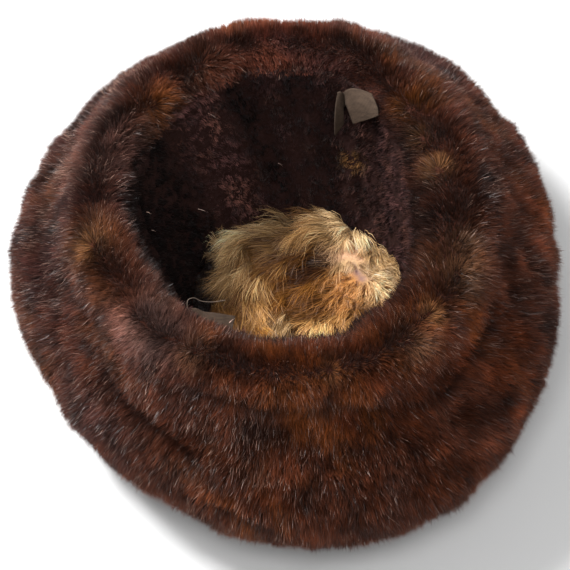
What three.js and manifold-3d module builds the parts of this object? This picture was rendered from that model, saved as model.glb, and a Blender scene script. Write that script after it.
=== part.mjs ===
// An otter fur cap that lies on its crown with the opening up. Millimetres, +Z up.
// X runs from ear to ear and Y from one end of the head to the other. The origin is on the
// surface that the cap lies on, under the middle of the crown.
//
// The cap is a wide crown of fur, sewn from a round top and a side band, with a fur cuff
// rolled over its edge. A plush band lines the hollow, a long-haired pelt closes its end,
// and two cloth tabs hang at the rim.

import * as THREE from "three";
import { mergeVertices } from "three/addons/utils/BufferGeometryUtils.js";
import Module from "manifold-3d";

const wasm = await Module();
wasm.setup();

// Sizes that the whole cap shares.
const PIECE_GAP = 0.3;
const PELT_THICKNESS = 15;
const FLAT_INNER_THICKNESS = 12;
const LINING_THICKNESS = 6;
// The crown reaches further back than forward, and its middle is over the origin.
const CROWN_MIDDLE = { right: -0.3, back: 5.7 };

// Points round a ring: of the fur, of a wall's plain inner face, and of the plush band.
const COLUMNS = 144;
const PLAIN_COLUMNS = 36;
const WALL_COLUMNS = 72;

// The crown's outer form from the face it lies on up to the crease below the cuff: half its
// width and half its length at each level, and how much of the plan's unevenness it takes.
const CROWN_SECTIONS = [
  { level: "flat edge", across: 108, along: 120, height: 0, right: 0, back: 0, uneven: 1 },
  { level: "under edge", across: 138, along: 150, height: 8, right: 0, back: 0, uneven: 1 },
  { level: "seam", across: 160, along: 173, height: 36, right: 0, back: 0, uneven: 1 },
  { level: "girth", across: 167, along: 182, height: 64, right: 0, back: 0, uneven: 1 },
  { level: "shoulder", across: 160, along: 172, height: 94, right: 0, back: 0, uneven: 0.9 },
  { level: "upper shoulder", across: 144, along: 154, height: 112, right: 0, back: 0, uneven: 0.5 },
  { level: "crease", across: 121, along: 133, height: 121, right: 0, back: 0, uneven: 0 },
];
const SEAM_SHARE = 0.39;

// The cuff's outer form from the crease over the roll to the rim of the hollow.
const CUFF_SECTIONS = [
  { level: "crease", across: 121, along: 133, height: 121, right: 0, back: 0, uneven: 0 },
  { level: "outer bulge", across: 127, along: 141, height: 136, right: 0, back: 0, uneven: 0 },
  { level: "outer shoulder", across: 123, along: 136, height: 150, right: -1, back: -1, uneven: 0.2 },
  { level: "top", across: 109, along: 121, height: 159, right: -4, back: -3, uneven: 0.6 },
  { level: "inner shoulder", across: 92, along: 106, height: 159, right: -8, back: -5, uneven: 1 },
  { level: "rim", across: 81, along: 95, height: 149, right: -9, back: -5, uneven: 1 },
];
// The parting of the cuff's fur: outside it the hair runs out, inside it runs to the rim.
const CUFF_PARTING = 0.56;
// The cuff's back, which the crown band and the lining are sewn to.
const CUFF_BACK = [
  { level: "rim seam", across: 86, along: 100, height: 142, right: -9, back: -5, uneven: 1 },
  { level: "inner back", across: 98, along: 111, height: 131, right: -5, back: -3, uneven: 0.4 },
];

// The plush band from the rim down to the pelt at the end of the hollow.
const LINING_SECTIONS = [
  { level: "rim", across: 81, along: 95, height: 149, right: -9, back: -5, uneven: 1 },
  { level: "upper wall", across: 80, along: 92, height: 121, right: -6, back: -5, uneven: 1 },
  { level: "middle wall", across: 75, along: 82, height: 81, right: 1, back: -4, uneven: 0.6 },
  { level: "foot", across: 66, along: 67, height: 36, right: 8, back: -4, uneven: 0 },
];
const PELT_DISC_SHARES = { top: 0.955, bottom: 0.995 };
// Where a wall's faces have a ring between their edges.
const CROWN_INNER_SHARES = [0.6, 0.8];
const TOP_INNER_SHARE = 0.2;
const LINING_FRONT_SHARES = [0.2, 0.4, 0.6, 0.8];
const LINING_BACK_SHARES = [0.6, 0.3];

// How far the uneven crown reaches at each bearing, as a share of its sections.
const PLAN_REACH = [
  { bearing: 0, share: 1.0 },
  { bearing: 30, share: 1.05 },
  { bearing: 60, share: 1.1 },
  { bearing: 90, share: 1.05 },
  { bearing: 120, share: 1.06 },
  { bearing: 150, share: 1.02 },
  { bearing: 180, share: 1.0 },
  { bearing: 210, share: 0.945 },
  { bearing: 240, share: 0.93 },
  { bearing: 270, share: 0.985 },
  { bearing: 300, share: 1.02 },
  { bearing: 330, share: 1.01 },
];

// The same for the rim of the hollow.
const RIM_REACH = [
  { bearing: 0, share: 1.0 },
  { bearing: 30, share: 1.03 },
  { bearing: 60, share: 1.1 },
  { bearing: 90, share: 1.03 },
  { bearing: 120, share: 1.0 },
  { bearing: 150, share: 0.99 },
  { bearing: 180, share: 0.98 },
  { bearing: 210, share: 0.95 },
  { bearing: 240, share: 0.97 },
  { bearing: 270, share: 1.0 },
  { bearing: 300, share: 1.07 },
  { bearing: 330, share: 1.07 },
];

// Hollows pressed into the fur, and with a minus sign the swellings. The bearing and its
// spread are in degrees, the height, reach and depth in millimetres.
const DENTS = [
  { name: "cuff fold", bearing: 52, spread: 7, height: 156, reach: 20, depth: 7 },
  { name: "crease pit", bearing: -22, spread: 8, height: 122, reach: 12, depth: 6 },
  { name: "crease gather", bearing: -50, spread: 9, height: 120, reach: 12, depth: 4 },
  { name: "near hollow", bearing: -96, spread: 16, height: 96, reach: 26, depth: 4 },
  { name: "left hollow", bearing: 205, spread: 14, height: 104, reach: 22, depth: 4 },
  { name: "far hollow", bearing: 100, spread: 14, height: 118, reach: 20, depth: 3 },
  { name: "right swelling", bearing: -60, spread: 24, height: 70, reach: 36, depth: -4 },
  { name: "left swelling", bearing: 172, spread: 22, height: 80, reach: 30, depth: -3 },
];

// Upright folds in the plush band.
const LINING_FOLDS = [
  { bearing: 98, spread: 5, depth: 5 },
  { bearing: 76, spread: 5, depth: -3 },
  { bearing: 116, spread: 6, depth: -3.5 },
  { bearing: 48, spread: 6, depth: 3.5 },
  { bearing: 140, spread: 7, depth: 4 },
  { bearing: 180, spread: 7, depth: -3 },
  { bearing: 218, spread: 6, depth: 4 },
  { bearing: 262, spread: 7, depth: -3 },
  { bearing: 300, spread: 6, depth: 3.5 },
  { bearing: 340, spread: 6, depth: 3 },
];

// The relief of the locks in which the fur lies: the shares of the surface that they run
// from and to, their rows, how far a tip stands out and how far it reaches over the next
// row. A notch between two tips has its own small share of the tips' height.
const CROWN_LOCKS = { from: 1, to: SEAM_SHARE + 0.002, rows: 4, lift: 2.6, reach: 0.035 };
const TOP_LOCKS = { from: SEAM_SHARE, to: 0.12, rows: 2, lift: 2.2, reach: 0.045 };
const CUFF_OUTER_LOCKS = { from: CUFF_PARTING, to: 0.04, rows: 2, lift: 2.6, reach: 0.06 };
const CUFF_INNER_LOCKS = { from: CUFF_PARTING, to: 0.97, rows: 2, lift: 2.6, reach: 0.06 };
const TIP_PLACE_IN_ROW = 0.94;
const NOTCH_HEIGHT = 0.25;
const TIP_HEIGHTS = { least: 0.6, spread: 0.6 };

// The locks of the long-haired pelt: where each starts from the pelt's middle, the way it
// runs and its length. A group's next lock starts a step further along X, or along Y where
// the step is a minus.
const PELT_LOCKS = [
  { name: "left fall", x: -46, y: 26, heading: 262, length: 36, count: 6, step: 12 },
  { name: "left low", x: -42, y: -10, heading: 272, length: 34, count: 5, step: 12 },
  { name: "middle sweep", x: 42, y: 40, heading: 188, length: 40, count: 4, step: -12 },
  { name: "middle curl", x: 38, y: -6, heading: 188, length: 38, count: 3, step: -12 },
  { name: "right short", x: 44, y: 12, heading: 292, length: 20, count: 3, step: -11 },
];
const PELT_LOCK_WIDTH = 13;
const PELT_LOCK_RISE = 7;
const PELT_LOCK_CURL = 24;
const PELT_LOCK_SCATTER = 14;
// A lock's form from its root to its tip, as shares of its length, width and rise.
const PELT_LOCK_STATIONS = [
  { share: 0, width: 0.45, rise: 0.1 },
  { share: 0.3, width: 1, rise: 0.9 },
  { share: 0.65, width: 0.8, rise: 1 },
  { share: 1, width: 0.12, rise: 0.35 },
];

// The cloth tabs, with a row for each line across the cloth from its sewn edge to its end:
// how far along the cloth, how far off the wall, and where its two edges are.
const TAB_THICKNESS = 1.2;
const TAB_ROOT = 3;
const TAB_RIPPLE = 0.14;
const TAB_COLUMNS = 5;
const FAR_TAB = {
  bearing: 50,
  rows: [
    { down: 0, off: 0.6, left: -12, right: 10 },
    { down: 7, off: 4.5, left: -15, right: 12 },
    { down: 16, off: 6.5, left: -15, right: 14 },
    { down: 26, off: 6.0, left: -6, right: 12 },
  ],
};
const NEAR_TAB = {
  bearing: 243,
  rows: [
    { down: 0, off: 0.6, left: -16, right: 22 },
    { down: 3, off: 6.0, left: -18, right: 24 },
    { down: 7, off: 8.5, left: -17, right: 22 },
    { down: 16, off: 7.0, left: -13, right: 16 },
  ],
};

const FUR_BROWN = 0x4a2a20;
const FUR_CUFF = 0x53302a;
const PLUSH_DARK = 0x24120f;
const PELT_TAN = 0xa9824f;
const TAB_CLOTH = 0x57473d;

const radians = THREE.MathUtils.degToRad;

// A repeatable number between 0 and 1 for the lock at this row and column.
function lockChance(row, column) {
  const value = Math.sin(row * 127.1 + column * 311.7) * 43758.5453;
  return value - Math.floor(value);
}

// The smallest turn from one bearing to another, in degrees.
function turnBetween(from, to) {
  return THREE.MathUtils.euclideanModulo(to - from + 180, 360) - 180;
}

// 1 at the middle of a soft spot, falling smoothly to 0 at a few spreads from it.
function bell(distance, spread) {
  return Math.exp(-((distance / spread) ** 2));
}

// The reach at a bearing, smoothly between the rows of a table that share the circle.
function planReach(table, bearing) {
  const step = 360 / table.length;
  const place = THREE.MathUtils.euclideanModulo(bearing, 360) / step;
  const index = Math.floor(place);
  const share = (offset) => table[(index + offset) % table.length].share;
  const blend = (1 - Math.cos((place - index) * Math.PI)) / 2;
  return THREE.MathUtils.lerp(share(0), share(1), blend);
}

// A surface round the cap, through a table of sections. A share of 0 is at the first
// section and 1 at the last, measured along the surface.
class RoundSurface {
  constructor(sections, reaches) {
    this.reaches = reaches;
    this.outline = new THREE.CatmullRomCurve3(
      sections.map((s) => new THREE.Vector3(s.across, s.along, s.height)),
      false,
      "centripetal",
    );
    this.plan = new THREE.CatmullRomCurve3(
      sections.map((s) => new THREE.Vector3(s.right, s.back, s.uneven)),
      false,
      "catmullrom",
    );
  }

  // The undented point at a bearing in degrees.
  base(bearing, share) {
    const t = this.outline.getUtoTmapping(THREE.MathUtils.clamp(share, 0, 1));
    const section = this.outline.getPoint(t);
    const { x: right, y: back, z: uneven } = this.plan.getPoint(t);
    const angle = radians(bearing);
    const reach = THREE.MathUtils.lerp(1, planReach(this.reaches, bearing), uneven);
    return new THREE.Vector3(
      section.x * reach * Math.cos(angle) + right,
      section.y * reach * Math.sin(angle) + back,
      section.z,
    );
  }

  // The outward normal of the undented surface.
  normal(bearing, share) {
    const low = Math.max(share - 0.01, 0);
    const high = Math.min(share + 0.01, 1);
    const along = this.base(bearing, high).sub(this.base(bearing, low));
    const round = this.base(bearing + 1, share).sub(this.base(bearing - 1, share));
    return round.cross(along).normalize();
  }

  // The point on the dented surface, raised by lift along the normal.
  point(bearing, share, lift = 0) {
    const place = this.base(bearing, share);
    let depth = 0;
    for (const dent of DENTS) {
      const turn = turnBetween(dent.bearing, bearing);
      depth += dent.depth * bell(turn, dent.spread) * bell(place.z - dent.height, dent.reach);
    }
    return place.addScaledVector(this.normal(bearing, share), lift - depth);
  }
}

// A ring of points round the cap, one for each column.
function ring(columns, place) {
  return Array.from({ length: columns }, (_, column) => place((column * 360) / columns, column));
}

// Rings of the relief of fur locks, in the order in which the hair runs. The locks lie like
// shingles: each row rises from under the tips of the row before, and its tips stand out
// and reach on over the next. The rows change sides, so tips lie over the notches.
function lockRings(surface, locks) {
  const rings = [];
  const way = Math.sign(locks.to - locks.from);
  const shareOf = (rows) => THREE.MathUtils.lerp(locks.from, locks.to, rows / locks.rows);
  const sideOf = (column, row) => ((column + row) % 2 === 0 ? 1 : -1);
  for (let row = 0; row < locks.rows; row += 1) {
    if (row > 0) {
      rings.push(
        ring(COLUMNS, (bearing, column) => {
          const reach = sideOf(column, row - 1) * locks.reach;
          return surface.point(bearing, shareOf(row) + way * reach);
        }),
      );
    }
    rings.push(
      ring(COLUMNS, (bearing, column) => {
        const side = sideOf(column, row);
        const isLast = row === locks.rows - 1;
        const reach = (isLast ? Math.min(side, 0) : side) * locks.reach;
        const height = TIP_HEIGHTS.least + TIP_HEIGHTS.spread * lockChance(row, column);
        const lift = locks.lift * height * (side > 0 ? 1 : NOTCH_HEIGHT);
        return surface.point(bearing, shareOf(row + TIP_PLACE_IN_ROW) + way * reach, lift);
      }),
    );
  }
  return rings;
}

// Gathers triangles, then makes them one closed geometry that faces outwards.
class Skin {
  constructor() {
    this.corners = [];
  }

  triangle(a, b, c) {
    this.corners.push(a, b, c);
  }

  // Joins two rings. One may have a whole number of times as many points as the other.
  band(first, second) {
    if (second.length > first.length) {
      this.fan(second, first, true);
    } else {
      this.fan(first, second, false);
    }
  }

  // Joins a ring to one with fewer points, each of which serves several of the first.
  fan(fine, coarse, turned) {
    const ratio = fine.length / coarse.length;
    const add = (a, b, c) => (turned ? this.triangle(a, c, b) : this.triangle(a, b, c));
    coarse.forEach((corner, index) => {
      const next = coarse[(index + 1) % coarse.length];
      const half = Math.ceil(ratio / 2);
      for (let step = 0; step < ratio; step += 1) {
        const a = fine[index * ratio + step];
        const b = fine[(index * ratio + step + 1) % fine.length];
        add(a, b, step < half ? corner : next);
        if (step === half - 1) {
          add(b, next, corner);
        }
      }
    });
  }

  // Closes a ring with triangles that meet at a point.
  cap(edge, centre, turned) {
    edge.forEach((corner, index) => {
      const next = edge[(index + 1) % edge.length];
      this.triangle(turned ? next : corner, turned ? corner : next, centre);
    });
  }

  // The signed volume tells whether the triangles face in, and then they are turned.
  geometry() {
    let volume = 0;
    const cross = new THREE.Vector3();
    for (let i = 0; i < this.corners.length; i += 3) {
      cross.crossVectors(this.corners[i + 1], this.corners[i + 2]);
      volume += this.corners[i].dot(cross);
    }
    if (volume < 0) {
      for (let i = 0; i < this.corners.length; i += 3) {
        [this.corners[i], this.corners[i + 1]] = [this.corners[i + 1], this.corners[i]];
      }
    }
    const geometry = new THREE.BufferGeometry().setFromPoints(this.corners);
    return mergeVertices(geometry, 1e-4);
  }
}

// A closed body from rings that follow each other round its section.
function closedLoop(rings) {
  const skin = new Skin();
  rings.forEach((one, index) => skin.band(one, rings[(index + 1) % rings.length]));
  return skin.geometry();
}

const crown = new RoundSurface(CROWN_SECTIONS, PLAN_REACH);
const cuffOuter = new RoundSurface(CUFF_SECTIONS, RIM_REACH);
const cuffBack = new RoundSurface(CUFF_BACK, RIM_REACH);
const liningInner = new RoundSurface(LINING_SECTIONS, RIM_REACH);

// The side band of the crown: a hollow wall of fur between the seam and the crease.
function crownSideGeometry() {
  const { from: crease, to: seam } = CROWN_LOCKS;
  return closedLoop([
    ring(COLUMNS, (bearing) => crown.point(bearing, crease)),
    ...lockRings(crown, CROWN_LOCKS),
    ring(COLUMNS, (bearing) => crown.point(bearing, seam)),
    ...[seam, ...CROWN_INNER_SHARES, crease].map((share) =>
      ring(PLAIN_COLUMNS, (bearing) => crown.point(bearing, share, -PELT_THICKNESS)),
    ),
  ]);
}

// The round top of the crown: the face that the cap lies on, flattened there, and the
// curved edge up to the seam.
function crownTopGeometry() {
  const skin = new Skin();
  const outside = [
    ring(COLUMNS, (bearing) => crown.point(bearing, SEAM_SHARE)),
    ...lockRings(crown, TOP_LOCKS),
    ring(COLUMNS, (bearing) => crown.base(bearing, 0)),
  ];
  const inside = [
    ring(PLAIN_COLUMNS, (bearing) => crown.point(bearing, SEAM_SHARE, -PELT_THICKNESS)),
    ring(PLAIN_COLUMNS, (bearing) => crown.point(bearing, TOP_INNER_SHARE, -PELT_THICKNESS)),
    ring(PLAIN_COLUMNS, (bearing) => crown.base(bearing, 0).setZ(FLAT_INNER_THICKNESS)),
  ];
  for (let i = 1; i < outside.length; i += 1) {
    skin.band(outside[i - 1], outside[i]);
  }
  skin.cap(outside.at(-1), new THREE.Vector3(0, 0, 0), false);
  skin.band(inside[0], outside[0]);
  skin.band(inside[1], inside[0]);
  skin.band(inside[2], inside[1]);
  skin.cap(inside[2], new THREE.Vector3(0, 0, FLAT_INNER_THICKNESS), true);
  return skin.geometry();
}

// A plain ring at a share of a surface.
function levelRing(surface, share) {
  return ring(PLAIN_COLUMNS, (bearing) => surface.base(bearing, share));
}

// Where the crown band's upper end is, moved off it by the gap between the pieces.
function creaseRing(columns, lift) {
  return ring(columns, (bearing) => {
    const end = crown.point(bearing, 1, lift);
    const along = crown.base(bearing, 1).sub(crown.base(bearing, 0.99)).normalize();
    return end.addScaledVector(along, PIECE_GAP);
  });
}

// The cuff: a thick roll of fur between the crease and the rim of the hollow.
function cuffGeometry() {
  return closedLoop([
    creaseRing(COLUMNS, 0),
    ...lockRings(cuffOuter, CUFF_OUTER_LOCKS).reverse(),
    ...lockRings(cuffOuter, CUFF_INNER_LOCKS),
    ring(COLUMNS, (bearing) => cuffOuter.base(bearing, 1)),
    levelRing(cuffBack, 0),
    levelRing(cuffBack, 1),
    creaseRing(PLAIN_COLUMNS, -PELT_THICKNESS),
  ]);
}

// The lining's inner face, with its upright folds. They fade towards the rim and the foot.
function liningPoint(bearing, share, inset = 0) {
  const fade = Math.sin(Math.PI * share);
  let depth = inset;
  for (const fold of LINING_FOLDS) {
    depth += fade * fold.depth * bell(turnBetween(fold.bearing, bearing), fold.spread);
  }
  const place = liningInner.base(bearing, share);
  return place.addScaledVector(liningInner.normal(bearing, share), -depth);
}

// The plush band that lines the hollow.
function liningWallGeometry() {
  const rimClearance = new THREE.Vector3(0, 0, -2 * PIECE_GAP);
  const front = [...LINING_FRONT_SHARES, PELT_DISC_SHARES.top, 1].map((share) =>
    ring(WALL_COLUMNS, (bearing) => liningPoint(bearing, share)),
  );
  const rear = [1, ...LINING_BACK_SHARES].map((share) =>
    ring(PLAIN_COLUMNS, (bearing) => liningPoint(bearing, share, LINING_THICKNESS)),
  );
  return closedLoop([
    ring(COLUMNS, (bearing) => liningInner.base(bearing, 0).add(rimClearance)),
    ...front,
    ...rear,
    ring(PLAIN_COLUMNS, (bearing) => cuffBack.base(bearing, 0).add(rimClearance)),
  ]);
}

// One lock of the long-haired pelt, a curved strip with a pointed tip that rises from the
// backing and comes down on it again.
function peltLock(start, heading, length) {
  const skin = new Skin();
  const rings = PELT_LOCK_STATIONS.map(({ share, width, rise }) => {
    const turned = radians(heading + PELT_LOCK_CURL * share);
    const ahead = new THREE.Vector3(Math.cos(turned), Math.sin(turned), 0);
    const side = new THREE.Vector3(-ahead.y, ahead.x, 0);
    side.multiplyScalar((PELT_LOCK_WIDTH * width) / 2);
    const middle = start.clone().addScaledVector(ahead, length * share);
    const top = middle.clone().setZ(middle.z + PELT_LOCK_RISE * rise);
    return [middle.clone().sub(side), top, middle.clone().add(side)];
  });
  for (let i = 1; i < rings.length; i += 1) {
    skin.band(rings[i - 1], rings[i]);
  }
  skin.triangle(...rings.at(-1));
  skin.triangle(...rings[0].reverse());
  return skin.geometry();
}

function solidOf(geometry) {
  return new wasm.Manifold(
    new wasm.Mesh({
      numProp: 3,
      vertProperties: new Float32Array(geometry.attributes.position.array),
      triVerts: new Uint32Array(geometry.index.array),
    }),
  );
}

function geometryOf(solid) {
  const mesh = solid.getMesh();
  const geometry = new THREE.BufferGeometry();
  geometry.setAttribute("position", new THREE.BufferAttribute(mesh.vertProperties, mesh.numProp));
  geometry.setIndex(new THREE.BufferAttribute(mesh.triVerts, 1));
  return geometry;
}

// The pelt at the end of the hollow: a disc inside the lining's foot with its locks fused on.
function crownLiningGeometry() {
  const { top, bottom } = PELT_DISC_SHARES;
  const edge = [top, bottom].map((share) =>
    ring(WALL_COLUMNS, (bearing) => liningPoint(bearing, share, -2 * PIECE_GAP)),
  );
  const skin = new Skin();
  const centre = liningInner.base(0, bottom).add(liningInner.base(180, bottom)).divideScalar(2);
  const upper = centre.clone().setZ(edge[0][0].z);
  skin.cap(edge[0], upper, false);
  skin.band(edge[1], edge[0]);
  skin.cap(edge[1], centre, true);
  let pelt = solidOf(skin.geometry());
  for (const group of PELT_LOCKS) {
    for (let index = 0; index < group.count; index += 1) {
      const start = new THREE.Vector3(group.x + index * Math.abs(group.step), group.y, 0);
      if (group.step < 0) {
        start.set(group.x, group.y + index * group.step, 0);
      }
      start.add(upper).setZ(upper.z - PIECE_GAP);
      const scatter = PELT_LOCK_SCATTER * (lockChance(index, group.x) - 0.5);
      pelt = pelt.add(solidOf(peltLock(start, group.heading + scatter, group.length)));
    }
  }
  return geometryOf(pelt);
}

// A cloth tab that hangs from the rim along the lining.
function tabGeometry(tab) {
  const length = liningInner.outline.getLength();
  const across = TAB_COLUMNS;
  const front = [];
  const rear = [];
  for (const row of tab.rows) {
    const share = (TAB_ROOT + row.down) / length;
    const radius = liningInner.base(tab.bearing, share).setZ(0).length();
    for (let step = 0; step < across; step += 1) {
      const reach = THREE.MathUtils.lerp(row.left, row.right, step / (across - 1));
      const bearing = tab.bearing - THREE.MathUtils.radToDeg(reach / radius);
      const off = row.off * (1 + TAB_RIPPLE * Math.sin(step * 1.9 + row.down));
      front.push(liningPoint(bearing, share, -off - TAB_THICKNESS));
      rear.push(liningPoint(bearing, share, -off));
    }
  }
  const skin = new Skin();
  const rows = tab.rows.length;
  const at = (list, row, step) => list[row * across + step];
  const quad = (a, b, c, d) => {
    skin.triangle(a, b, c);
    skin.triangle(a, c, d);
  };
  for (let row = 1; row < rows; row += 1) {
    for (let step = 1; step < across; step += 1) {
      const corners = (list) => [
        at(list, row - 1, step - 1),
        at(list, row - 1, step),
        at(list, row, step),
        at(list, row, step - 1),
      ];
      quad(...corners(front));
      quad(...corners(rear).reverse());
    }
    const end = across - 1;
    quad(at(rear, row - 1, 0), at(front, row - 1, 0), at(front, row, 0), at(rear, row, 0));
    quad(at(front, row - 1, end), at(rear, row - 1, end), at(rear, row, end), at(front, row, end));
  }
  for (let step = 1; step < across; step += 1) {
    const last = rows - 1;
    quad(at(rear, 0, step - 1), at(rear, 0, step), at(front, 0, step), at(front, 0, step - 1));
    quad(
      at(front, last, step - 1),
      at(front, last, step),
      at(rear, last, step),
      at(rear, last, step - 1),
    );
  }
  return skin.geometry();
}

function piece(name, geometry, color, roughness) {
  const material = new THREE.MeshStandardMaterial({ color, roughness, metalness: 0 });
  const mesh = new THREE.Mesh(geometry, material);
  mesh.name = name;
  return mesh;
}

const cap = new THREE.Group();
cap.position.set(-CROWN_MIDDLE.right, -CROWN_MIDDLE.back, 0);
cap.add(
  piece("crown_top", crownTopGeometry(), FUR_BROWN, 0.7),
  piece("crown_side", crownSideGeometry(), FUR_BROWN, 0.7),
  piece("cuff", cuffGeometry(), FUR_CUFF, 0.7),
  piece("lining_wall", liningWallGeometry(), PLUSH_DARK, 0.95),
  piece("crown_lining", crownLiningGeometry(), PELT_TAN, 0.8),
  piece("tab_far", tabGeometry(FAR_TAB), TAB_CLOTH, 0.9),
  piece("tab_near", tabGeometry(NEAR_TAB), TAB_CLOTH, 0.9),
);

export default cap;
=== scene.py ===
"""Dresses the frame of an otter fur cap that lies on its crown with the opening up.

Every length is in metres and in the frame of the solids: Z is up, X runs from ear to ear and
Y along the head. The tables of sections repeat the solids' own, in millimetres.
"""

import logging
import math
from collections.abc import Callable
from dataclasses import dataclass
from dataclasses import field
from enum import Enum

import bpy
import numpy as np
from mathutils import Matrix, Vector


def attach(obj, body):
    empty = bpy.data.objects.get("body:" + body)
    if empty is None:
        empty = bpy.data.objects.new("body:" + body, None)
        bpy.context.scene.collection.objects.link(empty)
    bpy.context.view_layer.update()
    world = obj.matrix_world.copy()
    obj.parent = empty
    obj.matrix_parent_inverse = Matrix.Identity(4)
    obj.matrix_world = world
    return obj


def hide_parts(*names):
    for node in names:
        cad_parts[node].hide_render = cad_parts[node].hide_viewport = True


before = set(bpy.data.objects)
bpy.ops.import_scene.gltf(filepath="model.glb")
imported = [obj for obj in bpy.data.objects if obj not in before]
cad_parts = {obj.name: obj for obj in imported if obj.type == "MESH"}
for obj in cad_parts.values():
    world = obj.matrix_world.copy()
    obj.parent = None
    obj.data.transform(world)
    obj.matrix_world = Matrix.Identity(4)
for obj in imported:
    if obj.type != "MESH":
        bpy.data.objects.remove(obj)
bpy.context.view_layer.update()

LOG = logging.getLogger("fur_cap")

MM = 0.001
BODY = "root"
SEED = 4870

# The crown's middle lies over the origin, so all the sections are moved by this much.
CROWN_MIDDLE = (0.3, -5.7)
PELT_THICKNESS = 15.0
LINING_THICKNESS = 6.0
SEAM_SHARE = 0.39
# Where the tan pelt meets the plush, as a share of the plush from the rim down.
DISC_SHARE = 0.955

# Points round each moulded piece.
FUR_COLUMNS = 96
PLUSH_COLUMNS = 144
DISC_COLUMNS = 72

# No more blades than this go into one mesh.
BLADES_IN_A_PIECE = 62000
# No hair comes nearer to the floor than this.
FLOOR_CLEARANCE = 0.0004

# How coarse the grain of the brown pelts is.
FUR_GRAIN = 420
# How light the brown hair is in all, and the spots on it.
FUR_LIGHT = 0.78
SPOT_LIGHT = 0.8
# How light the painted shade is on the tan pelt where the plush hides it.
UNDER_PLUSH_SHADE = 0.35

Colour = tuple[float, float, float]
Place = tuple[float, float, float]
# Gives the points of a ring from their bearings.
Ring = Callable[[np.ndarray], np.ndarray]


def screen(red: float, green: float, blue: float) -> Colour:
    """A colour for a shader, from the three values that a screen shows.

    Args:
        red: Red from 0 to 255.
        green: Green from 0 to 255.
        blue: Blue from 0 to 255.

    Returns:
        The three linear values.
    """
    values = []
    for value in (red, green, blue):
        share = value / 255
        values.append(share / 12.92 if share <= 0.04045 else ((share + 0.055) / 1.055) ** 2.4)
    return tuple(values)


def unit(vectors: np.ndarray) -> np.ndarray:
    """Each vector at a length of one."""
    return vectors / np.maximum(np.linalg.norm(vectors, axis=-1, keepdims=True), 1e-12)


def bell(distance: np.ndarray, spread: float) -> np.ndarray:
    """1 in the middle of a soft spot, falling smoothly to 0 at a few spreads from it."""
    return np.exp(-((distance / spread) ** 2))


def turn_between(start: np.ndarray | float, end: np.ndarray | float) -> np.ndarray:
    """The smallest turn from one bearing to another, in degrees."""
    return (end - start + 180) % 360 - 180


def rise(values: np.ndarray, low: float, high: float) -> np.ndarray:
    """A smooth step from 0 at low to 1 at high."""
    share = np.clip((values - low) / (high - low), 0, 1)
    return share * share * (3 - 2 * share)


def round_value(bearing: np.ndarray, table: tuple[float, ...]) -> np.ndarray:
    """The value at each bearing, in degrees, from a table that shares the circle evenly."""
    closed = np.array([*table, table[0]])
    return np.interp(np.asarray(bearing) % 360, np.linspace(0, 360, len(closed)), closed)


def blend(colour: np.ndarray, other: np.ndarray, share: np.ndarray) -> np.ndarray:
    """The colour with a share of another in it."""
    return colour * (1 - share) + other * share


def wide(angle: np.ndarray) -> np.ndarray:
    """The level unit vector at each angle, in radians."""
    return np.stack([np.cos(angle), np.sin(angle), np.zeros(len(angle))], axis=1)


class Drift:
    """Smooth random values over space, about as large as a normal variate."""

    def __init__(self, seed: int, wavelength: float, waves: int = 20) -> None:
        """Draws the waves that add up to the values.

        Args:
            seed: The seed of the random draw.
            wavelength: The usual distance between two highs, in metres.
            waves: How many waves add up.
        """
        chance = np.random.default_rng(seed)
        way = unit(chance.normal(size=(waves, 3)))
        self.wave = way * chance.uniform(0.7, 1.4, (waves, 1)) * math.tau / wavelength
        self.phase = chance.uniform(0, math.tau, waves)

    def at(self, points: np.ndarray) -> np.ndarray:
        """The value at each point."""
        total = np.sin(points @ self.wave.T + self.phase).sum(axis=-1)
        return total * math.sqrt(2 / len(self.phase))


@dataclass(frozen=True)
class Section:
    """One level of a surface round the cap, in millimetres."""

    across: float
    along: float
    height: float
    right: float = 0
    back: float = 0
    uneven: float = 0


CROWN_SECTIONS = (
    Section(108, 120, 0, uneven=1),
    Section(138, 150, 8, uneven=1),
    Section(160, 173, 36, uneven=1),
    Section(167, 182, 64, uneven=1),
    Section(160, 172, 94, uneven=0.9),
    Section(144, 154, 112, uneven=0.5),
    Section(121, 133, 121),
)
CUFF_SECTIONS = (
    Section(121, 133, 121),
    Section(127, 141, 136),
    Section(123, 136, 150, -1, -1, 0.2),
    Section(109, 121, 159, -4, -3, 0.6),
    Section(92, 106, 159, -8, -5, 1),
    Section(81, 95, 149, -9, -5, 1),
)
CUFF_BACK = (Section(86, 100, 142, -9, -5, 1), Section(98, 111, 131, -5, -3, 0.4))
LINING_SECTIONS = (
    Section(81, 95, 149, -9, -5, 1),
    Section(80, 92, 121, -6, -5, 1),
    Section(75, 82, 81, 1, -4, 0.6),
    Section(66, 67, 36, 8, -4, 0),
)

# How far the crown and the rim reach, as shares of their sections, every 30 degrees.
PLAN_REACH = (1.0, 1.05, 1.1, 1.05, 1.06, 1.02, 1.0, 0.945, 0.93, 0.985, 1.02, 1.01)
RIM_REACH = (1.0, 1.03, 1.1, 1.03, 1.0, 0.99, 0.98, 0.95, 0.97, 1.0, 1.07, 1.07)


@dataclass(frozen=True)
class Dent:
    """A hollow pressed into the fur, or with a minus sign a swelling."""

    bearing: float
    spread: float
    height: float
    reach: float
    depth: float


DENTS = (
    Dent(52, 7, 156, 20, 7),
    Dent(-22, 8, 122, 12, 6),
    Dent(-50, 9, 120, 12, 4),
    Dent(-96, 16, 96, 26, 4),
    Dent(205, 14, 104, 22, 4),
    Dent(100, 14, 118, 20, 3),
    Dent(-60, 24, 70, 36, -4),
    Dent(172, 22, 80, 30, -3),
)

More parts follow.
